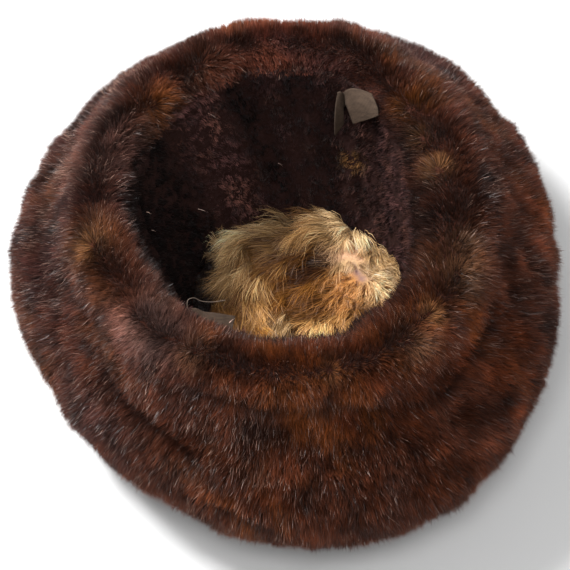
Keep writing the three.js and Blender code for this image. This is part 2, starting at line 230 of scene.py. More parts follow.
# Upright folds in the plush band: bearing, spread and depth.
LINING_FOLDS = (
    (98, 5, 5),
    (76, 5, -3),
    (116, 6, -3.5),
    (48, 6, 3.5),
    (140, 7, 4),
    (180, 7, -3),
    (218, 6, 4),
    (262, 7, -3),
    (300, 6, 3.5),
    (340, 6, 3),
)


def smooth_line(points: np.ndarray, by_distance: bool, steps: int = 48) -> np.ndarray:
    """Many points on a smooth curve through a few.

    Args:
        points: The points that the curve runs through, one in each row.
        by_distance: Whether a long stretch takes more of the curve's bend than a short one.
        steps: How many points stand for each stretch.

    Returns:
        The points of the curve, with the last given point at its end.
    """
    ends = (2 * points[0] - points[1], 2 * points[-1] - points[-2])
    line = np.vstack([ends[0], points, ends[1]])
    share = np.linspace(0, 1, steps, endpoint=False)[:, None]
    curve = []
    for before, start, end, after in zip(line, line[1:], line[2:], line[3:], strict=False):
        gaps = np.ones(3)
        if by_distance:
            for index, step in enumerate((start - before, end - start, after - end)):
                gaps[index] = math.sqrt(np.linalg.norm(step))
        one, two, three = gaps
        leave = (start - before) / one - (end - before) / (one + two) + (end - start) / two
        arrive = (end - start) / two - (after - start) / (two + three) + (after - end) / three
        square = share * share
        cube = square * share
        curve.append(
            (2 * cube - 3 * square + 1) * start
            + (cube - 2 * square + share) * leave * two
            + (3 * square - 2 * cube) * end
            + (cube - square) * arrive * two
        )
    curve.append(points[-1:])
    return np.vstack(curve)


class RoundSurface:
    """A surface round the cap through sections. Shares run along it from 0 to 1."""

    def __init__(self, sections: tuple[Section, ...], reaches: tuple[float, ...]) -> None:
        """Draws the curves through the sections.

        Args:
            sections: The levels from the first share to the last.
            reaches: How far it reaches at bearings that share the circle evenly.
        """
        self.reaches = np.array([*reaches, reaches[0]])
        outline = np.array([(s.across, s.along, s.height) for s in sections], float)
        plan = np.array([(s.right, s.back, s.uneven) for s in sections], float)
        self.outline = smooth_line(outline, by_distance=True)
        self.plan = smooth_line(plan, by_distance=False)
        steps = np.linalg.norm(np.diff(self.outline, axis=0), axis=1)
        run = np.concatenate([[0], np.cumsum(steps)])
        self.length = run[-1] * MM
        self.shares = run / run[-1]

    def reach(self, bearing: np.ndarray) -> np.ndarray:
        """How far the uneven surface reaches at each bearing.

        Args:
            bearing: Bearings in degrees.

        Returns:
            Shares of the even surface's reach.
        """
        place = (np.asarray(bearing) % 360) / 360 * (len(self.reaches) - 1)
        index = np.minimum(place.astype(int), len(self.reaches) - 2)
        blend = (1 - np.cos((place - index) * math.pi)) / 2
        return self.reaches[index] * (1 - blend) + self.reaches[index + 1] * blend

    def base(self, bearing: np.ndarray, share: np.ndarray) -> np.ndarray:
        """The points on the smooth surface.

        Args:
            bearing: Bearings in degrees.
            share: Shares along the surface.

        Returns:
            A point for each pair.
        """
        bearing, share = np.broadcast_arrays(np.asarray(bearing, float), share)
        across, along, height, right, back, uneven = (
            np.interp(share, self.shares, column)
            for column in (*self.outline.T, *self.plan.T)
        )
        angle = np.radians(bearing)
        reach = 1 + (self.reach(bearing) - 1) * uneven
        x = across * reach * np.cos(angle) + right + CROWN_MIDDLE[0]
        y = along * reach * np.sin(angle) + back + CROWN_MIDDLE[1]
        return np.stack([x, y, height], axis=-1) * MM

    def ways(self, bearing: np.ndarray, share: np.ndarray) -> tuple[np.ndarray, ...]:
        """The directions at each place.

        Args:
            bearing: Bearings in degrees.
            share: Shares along the surface.

        Returns:
            The unit vectors out of the surface, along it with the share, and round the cap.
        """
        low = np.maximum(np.asarray(share) - 0.01, 0)
        high = np.minimum(np.asarray(share) + 0.01, 1)
        along = self.base(bearing, high) - self.base(bearing, low)
        round_way = self.base(bearing + 1, share) - self.base(bearing - 1, share)
        return unit(np.cross(round_way, along)), unit(along), unit(round_way)

    def point(self, bearing: np.ndarray, share: np.ndarray, lift: np.ndarray | float = 0) -> np.ndarray:
        """The points on the dented surface, raised along its normal.

        Args:
            bearing: Bearings in degrees.
            share: Shares along the surface.
            lift: How far the point is raised, in metres.

        Returns:
            A point for each place.
        """
        place = self.base(bearing, share)
        depth = np.zeros(place.shape[:-1])
        for dent in DENTS:
            near = bell(turn_between(dent.bearing, np.asarray(bearing)), dent.spread)
            depth += dent.depth * MM * near * bell(place[..., 2] / MM - dent.height, dent.reach)
        return place + self.ways(bearing, share)[0] * (lift - depth)[..., None]


CROWN = RoundSurface(CROWN_SECTIONS, PLAN_REACH)
CUFF = RoundSurface(CUFF_SECTIONS, RIM_REACH)
CUFF_REAR = RoundSurface(CUFF_BACK, RIM_REACH)
LINING = RoundSurface(LINING_SECTIONS, RIM_REACH)


@dataclass(frozen=True)
class CreaseSlope:
    """The slope that the deep fur makes over the crease between the crown and the cuff."""

    foot: float = 0.79
    head: float = 0.5
    # How much of the crease it fills every 30 degrees of bearing.
    filled: tuple[float, ...] = (0.85, 0.9, 1.0, 1.0, 1.0, 1.0, 0.98, 0.95, 0.92, 0.9, 0.85, 0.82)

    def crown_step(self, share: np.ndarray) -> np.ndarray:
        """How far up the slope a share of the crown lies, from 0 to a half."""
        return (np.asarray(share) - self.foot) / (1 - self.foot) / 2

    def cuff_step(self, share: np.ndarray) -> np.ndarray:
        """How far up the slope a share of the cuff lies, from a half to 1."""
        return 0.5 + np.asarray(share) / self.head / 2

    def laid(
        self, bearing: np.ndarray, step: np.ndarray, place: np.ndarray, out: np.ndarray
    ) -> tuple[np.ndarray, np.ndarray]:
        """Moves places in the crease out onto the slope.

        Args:
            bearing: Bearings in degrees.
            step: How far up the slope each place lies. Below 0 and above 1 nothing moves.
            place: The places.
            out: The ways out of the surface there.

        Returns:
            The new places and ways out.
        """
        low = np.full(bearing.shape, self.foot)
        high = np.full(bearing.shape, self.head)
        foot = CROWN.point(bearing, low)
        head = CUFF.point(bearing, high)
        _, leave, round_way = CROWN.ways(bearing, low)
        length = np.linalg.norm(head - foot, axis=1, keepdims=True)
        leave = leave * length
        arrive = CUFF.ways(bearing, high)[1] * length
        level = np.clip(step, 0, 1)[:, None]
        square = level * level
        cube = square * level
        slope = (2 * cube - 3 * square + 1) * foot + (cube - 2 * square + level) * leave
        slope += (3 * square - 2 * cube) * head + (cube - square) * arrive
        heading = (6 * square - 6 * level) * (foot - head)
        heading += (3 * square - 4 * level + 1) * leave + (3 * square - 2 * level) * arrive
        face = unit(np.cross(round_way, heading))
        weight = (round_value(bearing, self.filled) * (step > 0) * (step < 1))[:, None]
        return place + (slope - place) * weight, unit(out + (face - out) * weight)


SLOPE = CreaseSlope()


@dataclass(frozen=True)
class Furrow:
    """A line where the fur is creased: the fur sinks in there, and its darkening is painted shade in the
    crease.

    Its line is in degrees of bearing and millimetres up from the crown's flat face.
    """

    line: tuple[tuple[float, float], ...]
    width: float
    depth: float
    dark: float
    # Degrees over which it fades at each end.
    fade: float = 6

    def near(self, bearing: np.ndarray, up: np.ndarray) -> np.ndarray:
        """How near each place is to the line, from 0 to 1.

        Args:
            bearing: Bearings in degrees.
            up: Millimetres up from the crown's flat face.

        Returns:
            The nearness of each place.
        """
        turns, levels = np.array(self.line).T
        past = (np.asarray(bearing) - turns[0]) % 360
        turns = turns - turns[0]
        ends = rise(past, 0, self.fade) * (1 - rise(past, turns[-1] - self.fade, turns[-1]))
        return bell(up - np.interp(past, turns, levels), self.width) * ends


FURROWS = (
    Furrow(
        (
            *((304, 197), (311, 192), (318, 198), (326.5, 206), (334, 210)),
            *((340.5, 226), (350.5, 235), (361, 238), (372, 234), (388, 233)),
        ),
        3.2,
        0.004,
        0.93,
    ),
    Furrow(((244, 224), (260, 227), (274, 226), (284, 224), (299, 203), (308, 194)), 5, 0.0025, 0.55),
    Furrow(((194, 200), (205, 206), (212, 212), (222, 217)), 5, 0.003, 0.6),
    Furrow(((215, 214), (223, 180), (232, 172.5), (241.5, 165), (254, 150)), 6, 0.0035, 0.7),
)


def furrowed(bearing: np.ndarray, up: np.ndarray) -> tuple[np.ndarray, np.ndarray]:
    """How deep the furrows make each place, and how much painted shade they lay on it.

    Args:
        bearing: Bearings in degrees.
        up: How far up from the crown's flat face each place is, in millimetres.

    Returns:
        The depths in metres and the painted shade from 0 to 1.
    """
    depth = sum(furrow.depth * furrow.near(bearing, up) for furrow in FURROWS)
    light = 1.0
    for furrow in FURROWS:
        light = light * (1 - furrow.dark * furrow.near(bearing, up))
    return depth, 1 - light


def lining_point(bearing: np.ndarray, share: np.ndarray, inset: float = 0) -> np.ndarray:
    """The points on the plush band's face, with its upright folds.

    Args:
        bearing: Bearings in degrees.
        share: Shares from the rim to the foot.
        inset: How far behind the face the point lies, in metres.

    Returns:
        A point for each place.
    """
    bearing, share = np.broadcast_arrays(np.asarray(bearing, float), share)
    depth = np.full(bearing.shape, float(inset))
    for middle, spread, fold in LINING_FOLDS:
        near = bell(turn_between(middle, bearing), spread)
        depth += np.sin(math.pi * share) * fold * MM * near
    return LINING.base(bearing, share) - LINING.ways(bearing, share)[0] * depth[..., None]


class Tone(Enum):
    """The cap's colours, as a screen shows them. GLINT is a painted highlight on hair tips, also given to the
    stray pale hairs; DEEP and LILAC also serve as painted shade and painted sheen.
    """

    RED_BROWN = screen(92, 48, 34)
    PLUM = screen(78, 46, 43)
    RUST = screen(112, 62, 34)
    DEEP = screen(40, 18, 12)
    TAN_SPOT = screen(190, 132, 84)
    ORANGE_SPOT = screen(162, 98, 54)
    AMBER_SPOT = screen(150, 84, 24)
    # Painted highlight: the colour of the pale hair tips that stand in for glints.
    GLINT = screen(226, 182, 162)
    SKIN = screen(222, 176, 140)
    LILAC = screen(150, 116, 108)
    WOOL = screen(140, 100, 72)
    PLUSH = screen(60, 38, 36)
    PLUSH_RED = screen(74, 47, 40)
    CREAM = screen(228, 188, 134)
    SAND = screen(194, 140, 78)
    OCHRE = screen(152, 96, 34)
    UMBER = screen(92, 55, 18)
    APRICOT = screen(212, 146, 80)

    @property
    def line(self) -> np.ndarray:
        """The colour as an array."""
        return np.array(self.value)


@dataclass(frozen=True)
class Patch:
    """A round part of the fur, in millimetres."""

    x: float
    y: float
    z: float
    spread: float

    @property
    def middle(self) -> np.ndarray:
        """Its middle, in metres."""
        return np.array([self.x, self.y, self.z]) * MM

    def near(self, points: np.ndarray) -> np.ndarray:
        """How near each point is to the middle, from 0 to 1."""
        return bell(np.linalg.norm(points - self.middle, axis=-1), self.spread * MM)


@dataclass(frozen=True)
class Spot(Patch):
    """A place on the cuff where the hair is paler or darker and splays out. Most are worn spots in their own
    tones; the LILAC ones are painted sheen and the DEEP ones painted shade in dents and creases.
    """

    tone: Tone
    strength: float
    splay: float = 0.6


# Worn spots in their own tones; the LILAC spots are painted sheen and the DEEP spots painted shade in dents
# and creases.
SPOTS = (
    Spot(-114, -45, 154, 17, Tone.ORANGE_SPOT, 0.65, 0.3),
    Spot(-114, -45, 154, 8, Tone.TAN_SPOT, 0.85, 0.5),
    Spot(-83, -100, 157, 21, Tone.LILAC, 0.5, 0),
    Spot(-68, -112, 158, 13, Tone.LILAC, 0.35, 0.2),
    Spot(-52, -122, 159, 9, Tone.WOOL, 0.45, 0.3),
    Spot(-107, 27, 145, 26, Tone.LILAC, 0.3, 0),
    Spot(-75, 56, 157, 14, Tone.AMBER_SPOT, 0.45),
    Spot(-50, 88, 157, 14, Tone.RUST, 0.5),
    Spot(-14, 130, 149, 10, Tone.RUST, 0.4),
    Spot(73, 55, 160, 11, Tone.AMBER_SPOT, 0.85, 0.3),
    Spot(79, 31, 162, 8, Tone.TAN_SPOT, 0.6, 0.5),
    Spot(89, 7, 163, 8, Tone.TAN_SPOT, 0.85, 0.6),
    Spot(101, -46, 162, 12, Tone.WOOL, 0.7, 0.2),
    Spot(101, -66, 160, 14, Tone.WOOL, 0.8, 0.2),
    Spot(82, -95, 160, 7, Tone.TAN_SPOT, 0.75, 0.3),
    Spot(75, -115, 156, 10, Tone.WOOL, 0.65, 0.3),
    Spot(25, -133, 158, 6, Tone.TAN_SPOT, 0.3, 0.4),
    Spot(-119, -66, 143, 13, Tone.DEEP, 0.55, 0),
    Spot(-102, -101, 137, 7, Tone.DEEP, 0.9, 0),
    Spot(112, -12, 155, 20, Tone.DEEP, 0.6, 0),
    Spot(88, -20, 160, 14, Tone.DEEP, 0.6, 0),
    Spot(40, 118, 158, 22, Tone.DEEP, 0.3, 0),
    Spot(14, -163, 115, 5, Tone.DEEP, 0.85, 0),
    Spot(40, -128, 156, 16, Tone.DEEP, 0.4, 0),
)


@dataclass(frozen=True)
class PaintedLight(Patch):
    """A broad part of the fur painted lighter or darker than the rest as light or shade, with more or fewer
    painted glints.
    """

    light: float
    glints: float = 0


# Painted light and shade over broad parts of the fur, with how many painted glints each part gets.
PAINTED_LIGHTS = (
    PaintedLight(-145, -10, 110, 55, 0.62, 1.2),
    PaintedLight(-110, 80, 120, 50, 0.75, 2.2),
    PaintedLight(80, 110, 120, 55, 0.8, 0.3),
    PaintedLight(110, -110, 100, 48, 1.8, -0.3),
    PaintedLight(155, 0, 105, 40, 1.9, 0.5),
    PaintedLight(25, -138, 154, 30, 2.0, 0),
    PaintedLight(-25, -165, 95, 45, 1.0, 1.0),
    PaintedLight(-5, 112, 158, 40, 2.6, 0),
    PaintedLight(-88, 5, 155, 24, 0.75, -0.8),
)


def set_inputs(node: bpy.types.Node, values: dict[str, float | tuple[float, ...]]) -> None:
    """Sets inputs of a node by their names."""
    for name, value in values.items():
        node.inputs[name].default_value = value


class Recipe:
    """A material in the making."""

    def __init__(self, name: str, roughness: float, gloss: float) -> None:
        """Starts a material with one surface shader.

        Args:
            name: The material's name.
            roughness: How rough it is.
            gloss: How strongly it mirrors light.
        """
        self.material = bpy.data.materials.new(name)
        self.material.use_nodes = True
        self.nodes = self.material.node_tree.nodes
        self.links = self.material.node_tree.links
        self.surface = self.nodes["Principled BSDF"]
        set_inputs(self.surface, {"Roughness": roughness, "Specular IOR Level": gloss})

    def node(self, kind: str, values: dict[str, float]) -> bpy.types.Node:
        """Adds a node and sets its inputs.

        Args:
            kind: The node's kind.
            values: Values for its inputs.

        Returns:
            The new node.
        """
        made = self.nodes.new(f"ShaderNode{kind}")
        set_inputs(made, values)
        return made

    def ramp(self, source: bpy.types.NodeSocket, stops: tuple[tuple[float, Colour], ...]) -> None:
        """Colours the surface from dark to light.

        Args:
            source: What tells dark from light.
            stops: The two places on the ramp with their colours.
        """
        ramp = self.node("ValToRGB", {})
        for element, (position, colour) in zip(ramp.color_ramp.elements, stops, strict=True):
            element.position = position
            element.color = (*colour, 1)
        self.links.new(source, ramp.inputs["Fac"])
        self.links.new(ramp.outputs["Color"], self.surface.inputs["Base Color"])

    def relief(self, source: bpy.types.NodeSocket, depth: float) -> None:
        """Roughens the surface with a fine relief.

        Args:
            source: The relief's height.
            depth: How deep it is, in metres.
        """
        bump = self.node("Bump", {"Distance": depth})
        self.links.new(source, bump.inputs["Height"])
        self.links.new(bump.outputs["Normal"], self.surface.inputs["Normal"])


@dataclass(frozen=True)
class PlainFinish:
    """One even colour."""

    name: str
    colour: Colour
    roughness: float

    def material(self) -> bpy.types.Material:
        """Makes the material.

        Returns:
            The new material.
        """
        made = Recipe(self.name, self.roughness, 0.5)
        made.surface.inputs["Base Color"].default_value = (*self.colour, 1)
        return made.material


@dataclass(frozen=True)
class HairFinish:
    """Hair whose blades carry their own colour, with fine streaks over it."""

    name: str
    roughness: float
    gloss: float
    sheen: float = 0
    streak: float = 0.35

    def material(self) -> bpy.types.Material:
        """Makes the material.

        Returns:
            The new material.
        """
        made = Recipe(self.name, self.roughness, self.gloss)
        set_inputs(made.surface, {"Sheen Weight": self.sheen, "Sheen Roughness": 0.4})
        tint = made.node("Attribute", {})
        tint.attribute_name = "tint"
        place = made.node("TexCoord", {})
        streaks = made.node("TexNoise", {"Scale": 900, "Detail": 2})
        made.links.new(place.outputs["Object"], streaks.inputs["Vector"])
        shade = made.node("MapRange", {"To Min": 1 - self.streak, "To Max": 1 + self.streak})
        made.links.new(streaks.outputs["Fac"], shade.inputs["Value"])
        mixed = made.node("VectorMath", {})
        mixed.operation = "SCALE"
        made.links.new(tint.outputs["Color"], mixed.inputs[0])
        made.links.new(shade.outputs["Result"], mixed.inputs["Scale"])
        made.links.new(mixed.outputs["Vector"], made.surface.inputs["Base Color"])
        return made.material


@dataclass(frozen=True)
class PeltFinish:
    """The dense underfur close to the leather: a grain of its own browns, kept dark as painted shade deep in
    the fur between the hairs.
    """

    name: str
    dark: Tone
    light: Tone
    scale: float
    roughness: float = 0.85
    depth: float = 0.0012

    def material(self) -> bpy.types.Material:
        """Makes the material.

        Returns:
            The new material.
        """
        made = Recipe(self.name, self.roughness, 0.2)
        place = made.node("TexCoord", {})
        grain = made.node("TexNoise", {"Scale": self.scale, "Detail": 6, "Roughness": 0.7})
        made.links.new(place.outputs["Object"], grain.inputs["Vector"])
        made.ramp(grain.outputs["Fac"], ((0.36, self.dark.value), (0.66, self.light.value)))
        made.relief(grain.outputs["Fac"], self.depth)
        return made.material


@dataclass(frozen=True)
class ClothFinish:
    """A plain weave of two shades of thread."""

    name: str
    dark: Colour
    light: Colour
    threads: float

    def material(self) -> bpy.types.Material:
        """Makes the material.

        Returns:
            The new material.
        """
        made = Recipe(self.name, 0.92, 0.2)
        place = made.node("UVMap", {})
        place.uv_map = "Weave"
        weave = made.node("Math", {})
        weave.operation = "MULTIPLY"
        for index, way in enumerate(("X", "Y")):
            wave = made.node("TexWave", {"Scale": self.threads, "Distortion": 0.6, "Detail": 1})
            wave.bands_direction = way
            made.links.new(place.outputs["UV"], wave.inputs["Vector"])
            made.links.new(wave.outputs["Fac"], weave.inputs[index])
        fade = made.node("TexNoise", {"Scale": 9, "Detail": 5})
        made.links.new(place.outputs["UV"], fade.inputs["Vector"])
        worn = made.node("Math", {})
        worn.operation = "ADD"
        made.links.new(weave.outputs["Value"], worn.inputs[0])
        made.links.new(fade.outputs["Fac"], worn.inputs[1])
        made.ramp(worn.outputs["Value"], ((0.35, self.dark), (1.0, self.light)))
        made.relief(weave.outputs["Value"], 0.0002)
        return made.material


@dataclass
class Blades:
    """Many hairs as tapered blades, each through a few points to a pointed tip."""

    points: np.ndarray
    across: np.ndarray
    width: np.ndarray
    tint: np.ndarray
    # The share of the width that is left at the last pair of edge points.
    taper: float = 0.45

    def piece(self, name: str, material: bpy.types.Material) -> bpy.types.Object:
        """Makes one mesh of all the blades.

        Args:
            name: The piece's name.
            material: Its material, which reads the colours from the tint attribute.

        Returns:
            The new object.
        """
        count, stations, _ = self.points.shape
        pairs = stations - 1
        taper = np.linspace(1, self.taper, pairs)[None, :, None] * self.width[:, None, None] / 2
        out = self.across[:, None, :] * taper
        corners = np.empty((count, 2 * pairs + 1, 3), np.float32)
        corners[:, 0 : 2 * pairs : 2] = self.points[:, :-1] - out
        corners[:, 1 : 2 * pairs : 2] = self.points[:, :-1] + out
        corners[:, -1] = self.points[:, -1]
        tints = np.ones((count, 2 * pairs + 1, 4), np.float32)
        tints[:, 0 : 2 * pairs : 2, :3] = self.tint[:, :-1]
        tints[:, 1 : 2 * pairs : 2, :3] = self.tint[:, :-1]
        tints[:, -1, :3] = self.tint[:, -1]
        pattern = []
        for pair in range(pairs - 1):
            first = 2 * pair
            pattern.extend((first, first + 1, first + 3, first + 2))
        pattern.extend((2 * pairs - 2, 2 * pairs - 1, 2 * pairs))
        loops = (np.arange(count)[:, None] * (2 * pairs + 1) + np.array(pattern)[None]).astype(np.int32)
        sizes = np.tile(np.array([4] * (pairs - 1) + [3], np.int32), count)
        mesh = bpy.data.meshes.new(name)
        mesh.vertices.add(corners.shape[0] * corners.shape[1])
        mesh.vertices.foreach_set("co", corners.ravel())
        mesh.loops.add(loops.size)
        mesh.loops.foreach_set("vertex_index", loops.ravel())
        mesh.polygons.add(len(sizes))
        mesh.polygons.foreach_set("loop_start", np.concatenate([[0], np.cumsum(sizes)[:-1]]).astype(np.int32))
        mesh.update(calc_edges=True)
        mesh.attributes.new("tint", "FLOAT_COLOR", "POINT").data.foreach_set("color", tints.ravel())
        self.lay_out(mesh, count, pairs, loops)
        mesh.materials.append(material)
        piece = bpy.data.objects.new(name, mesh)
        bpy.context.scene.collection.objects.link(piece)
        return piece

    @staticmethod
    def lay_out(mesh: bpy.types.Mesh, count: int, pairs: int, loops: np.ndarray) -> None:
        """Gives each blade a small cell of its own in a UV map.

        Args:
            mesh: The mesh of the blades.
            count: How many blades it has.
            pairs: How many pairs of edge points each has.
            loops: The point of each face corner, one row for each blade.
        """
        side = math.ceil(math.sqrt(count))
        cell = np.empty((2 * pairs + 1, 2))
        for edge, across in enumerate((0.15, 0.85)):
            cell[edge : 2 * pairs : 2, 0] = across
            cell[edge : 2 * pairs : 2, 1] = np.linspace(0.12, 0.88, pairs + 1)[:-1]
        cell[-1] = (0.5, 0.88)
        index = np.arange(count)
        corner = np.stack([index % side, index // side], axis=1)
        places = (corner[:, None, :] + cell[None]) / side
        flat = places.reshape(-1, 2)[loops.ravel()]
        layer = mesh.uv_layers.new(name="OFBake")
        layer.data.foreach_set("uv", flat.astype(np.float32).ravel())


def place_piece(piece: bpy.types.Object, nodes: tuple[str, ...] = ()) -> None:
    """Hands a finished piece to the frame.

    Args:
        piece: The piece.
        nodes: The solids that it stands for.
    """
    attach(piece, BODY)
    if nodes:
        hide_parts(*nodes)
    faces = sum(len(polygon.vertices) - 2 for polygon in piece.data.polygons)
    LOG.info("%s: %d triangles", piece.name, faces)


def ring_band(name: str, columns: int, rows: int) -> bpy.types.Object:
    """A tube that is one unit tall for each row, extruded from a circle.

    Args:
        name: The piece's name.
        columns: Points in each ring.
        rows: How many rings the tube has.

    Returns:
        The new object.
    """
    bpy.ops.object.select_all(action="DESELECT")
    bpy.ops.mesh.primitive_circle_add(vertices=columns, radius=1, fill_type="NOTHING")
    band = bpy.context.object
    band.name = name
    bpy.ops.object.mode_set(mode="EDIT")
    for _ in range(rows - 1):
        bpy.ops.mesh.extrude_region_move(TRANSFORM_OT_translate={"value": (0, 0, 1)})
    bpy.ops.object.mode_set(mode="OBJECT")
    return band


def mould(band: bpy.types.Object, rings: list[Ring], closed: bool) -> None:
    """Moves each ring of a tube to its place on the cap.

    Args:
        band: The tube, with one ring for each place.
        rings: For each ring, what gives its points from their bearings.
        closed: Whether the last ring is joined to the first.
    """
    mesh = band.data
    flat = np.empty(len(mesh.vertices) * 3, np.float32)
    mesh.vertices.foreach_get("co", flat)
    corners = flat.reshape(-1, 3)
    bearing = np.degrees(np.arctan2(corners[:, 1], corners[:, 0]))
    row = np.rint(corners[:, 2]).astype(int)
    for index, place in enumerate(rings):
        chosen = row == index
        corners[chosen] = place(bearing[chosen])
    mesh.vertices.foreach_set("co", corners.ravel())
    mesh.update()
    bpy.ops.object.mode_set(mode="EDIT")
    bpy.ops.mesh.select_mode(type="VERT")
    bpy.ops.mesh.select_all(action="DESELECT")
    if closed:
        bpy.ops.mesh.select_non_manifold()
        bpy.ops.mesh.bridge_edge_loops()
    bpy.ops.mesh.select_all(action="SELECT")
    bpy.ops.mesh.remove_doubles(threshold=0.00002)
    bpy.ops.mesh.normals_make_consistent(inside=False)
    bpy.ops.object.mode_set(mode="OBJECT")


def soften(piece: bpy.types.Object, levels: int, material: bpy.types.Material) -> None:
    """Rounds a moulded piece off, shades it smooth and gives it its finish.

    Args:
        piece: The piece.
        levels: How often its faces are divided.
        material: Its finish.
    """
    bpy.ops.object.select_all(action="DESELECT")
    piece.select_set(True)
    bpy.context.view_layer.objects.active = piece
    if levels:
        rounding = piece.modifiers.new("Rounding", "SUBSURF")
        rounding.levels = levels
        rounding.render_levels = levels
        bpy.ops.object.modifier_apply(modifier=rounding.name)
    bpy.ops.object.shade_smooth()
    piece.data.materials.clear()
    piece.data.materials.append(material)


@dataclass(frozen=True)
class Coat:
    """How one layer of hair grows. Lengths are in metres."""

    count: int
    depth: float
    lift: float
    lift_spread: float
    reach: float
    reach_spread: float
    width: float
    tuft: float = 0.0045
    pull: float = 0.4
    tuft_turn: float = 36
    relief: float = 0.0009
    sway: float = 18
    jitter: float = 15
    roll: float = 30
    bent: bool = False
    # How much less far a standing hair reaches, and how much higher.
    standing_loss: float = 0.6
    standing_lift: float = 0.0012
    shortest: float = 0.0008


@dataclass
class Growth:
    """Where the hairs of a layer start, and what the surface is like there."""

    bearing: np.ndarray
    share: np.ndarray
    place: np.ndarray
    out: np.ndarray
    along: np.ndarray


def scatter(
    surface: RoundSurface, low: float, high: float, count: int, chance: np.random.Generator
) -> tuple[np.ndarray, np.ndarray]:
    """Spreads hair roots evenly over part of a surface.

    Args:
        surface: The surface.
        low: The share at which the part starts.
        high: The share at which it ends.
        count: About how many roots there are.
        chance: The source of chance.

    Returns:
        The roots' bearings and shares.
    """
    fine = np.linspace(low, high, 64)
    girth = surface.base(np.arange(0, 360, 5.0)[:, None], fine[None])
    round_lengths = np.linalg.norm(np.diff(np.concatenate([girth, girth[:1]]), axis=0), axis=-1).sum(axis=0)
    height = (high - low) * surface.length
    spacing = math.sqrt(height * round_lengths.mean() / count)
    rows = max(1, round(height / spacing))
    bearings = []
    shares = []
    for row in range(rows):
        middle = low + (high - low) * (row + 0.5) / rows
        number = max(1, round(np.interp(middle, fine, round_lengths) / spacing))
        offsets = chance.uniform(0, 1, number) + np.arange(number) + chance.uniform()
        bearings.append(offsets / number * 360)
        shares.append(low + (high - low) * (row + chance.uniform(0, 1, number)) / rows)
    return np.concatenate(bearings), np.concatenate(shares)


def tuft_pull(points: np.ndarray, size: float, seed: int) -> tuple[np.ndarray, np.ndarray, np.ndarray]:
    """Finds the middle of the tuft that each hair belongs to.

    Args:
        points: The hairs' roots.
        size: The usual distance between tufts.
        seed: The seed of the tufts.

    Returns:
        The way from each root to its tuft's middle, a chance value of the tuft, and how far out
        in the tuft the root is, from 0 to about 1.
    """
    cell = np.floor(points / size).astype(np.int64)
    best = np.full(len(points), np.inf)
    way = np.zeros_like(points)
    value = np.zeros(len(points))
    for step in np.ndindex(3, 3, 3):
        other = cell + np.array(step) - 1
        mixed = other[:, 0] * 73856093 ^ other[:, 1] * 19349663 ^ other[:, 2] * 83492791 ^ seed * 2654435
        parts = []
        for turn in range(4):
            mixed = (mixed * 6364136223846793005 + 1442695040888963407 + turn) & 0x7FFFFFFFFFFFFFFF
            parts.append(((mixed >> 33) & 0xFFFFF) / 0xFFFFF)
        middle = (other + np.stack(parts[:3], axis=1)) * size
        gap = np.linalg.norm(middle - points, axis=1)
        nearer = gap < best
        best = np.where(nearer, gap, best)
        way[nearer] = (middle - points)[nearer]
        value = np.where(nearer, parts[3], value)
    return way, value, np.minimum(best / size * 1.3, 1.2)


@dataclass
class Grown:
    """Hairs as they grew: their points, the way across them, and what their tufts are like."""

    points: np.ndarray
    across: np.ndarray
    value: np.ndarray
    edge: np.ndarray


def grow(coat: Coat, ground: Growth, flow: np.ndarray, stand: np.ndarray, seed: int) -> Grown:
    """Grows hairs from their roots the way the fur lies.

    Args:
        coat: The layer's measures.
        ground: The roots. Their places are on the outer form.
        flow: The way the hair lies at each root. Where it is shorter than one the hair stands.
        stand: How much each hair stands up rather than lying down, from 0 to 1.
        seed: The seed of the layer.

    Returns:
        The hairs.
    """
    chance = np.random.default_rng(seed)
    number = len(ground.bearing)
    pull, value, edge = tuft_pull(ground.place, coat.tuft, seed + 2)
    pull -= ground.out * np.sum(pull * ground.out, axis=1)[:, None]
    turn = Drift(seed + 1, 0.03).at(ground.place) * coat.sway + (value - 0.5) * coat.tuft_turn
    angle = np.radians(turn + chance.normal(0, coat.jitter, number))[:, None]
    side = np.cross(ground.out, flow)
    lie = flow * np.cos(angle) + side * np.sin(angle)
    reach = coat.reach * (1 - coat.standing_loss * stand)
    reach = np.maximum(reach * (1 + coat.reach_spread * chance.normal(0, 1, number)), coat.shortest)
    lift = coat.lift + coat.lift_spread * chance.normal(0, 1, number)
    lift += coat.lift_spread * 1.2 * (value - 0.5) - coat.relief * edge * edge
    lift += stand * coat.standing_lift
    root = ground.place - ground.out * coat.depth
    tip = ground.place + ground.out * lift[:, None] + lie * reach[:, None] + pull * coat.pull
    tip[:, 2] = np.maximum(tip[:, 2], FLOOR_CLEARANCE)
    if coat.bent:
        middle = root + (tip - root) * 0.45 + ground.out * (coat.depth * 0.22) + pull * coat.pull * 0.1
        middle[:, 2] = np.maximum(middle[:, 2], FLOOR_CLEARANCE * 1.5)
        points = np.stack([root, middle, tip], axis=1)
    else:
        points = np.stack([root, tip], axis=1)
    way = unit(tip - points[:, -2])
    across = unit(np.cross(way, ground.out))
    roll = np.radians(chance.normal(0, coat.roll, number))[:, None]
    across = unit(across * np.cos(roll) + np.cross(way, across) * np.sin(roll))
    return Grown(points, across, value, edge)


# How light the brown hair is from root to tip, for straight hairs and for bent ones; the dark roots are
# painted shade deep in the fur.
STRAIGHT_STEPS = (0.2, 1.25)
BENT_STEPS = (0.16, 0.75, 1.3)
# Towards the near right the fur is redder: how much darker each of red, green and blue is there.
RUDDY_WAY = np.array([0.6, -0.8, 0])
RUDDY_LOSS = np.array([-0.12, 0.02, 0.4])


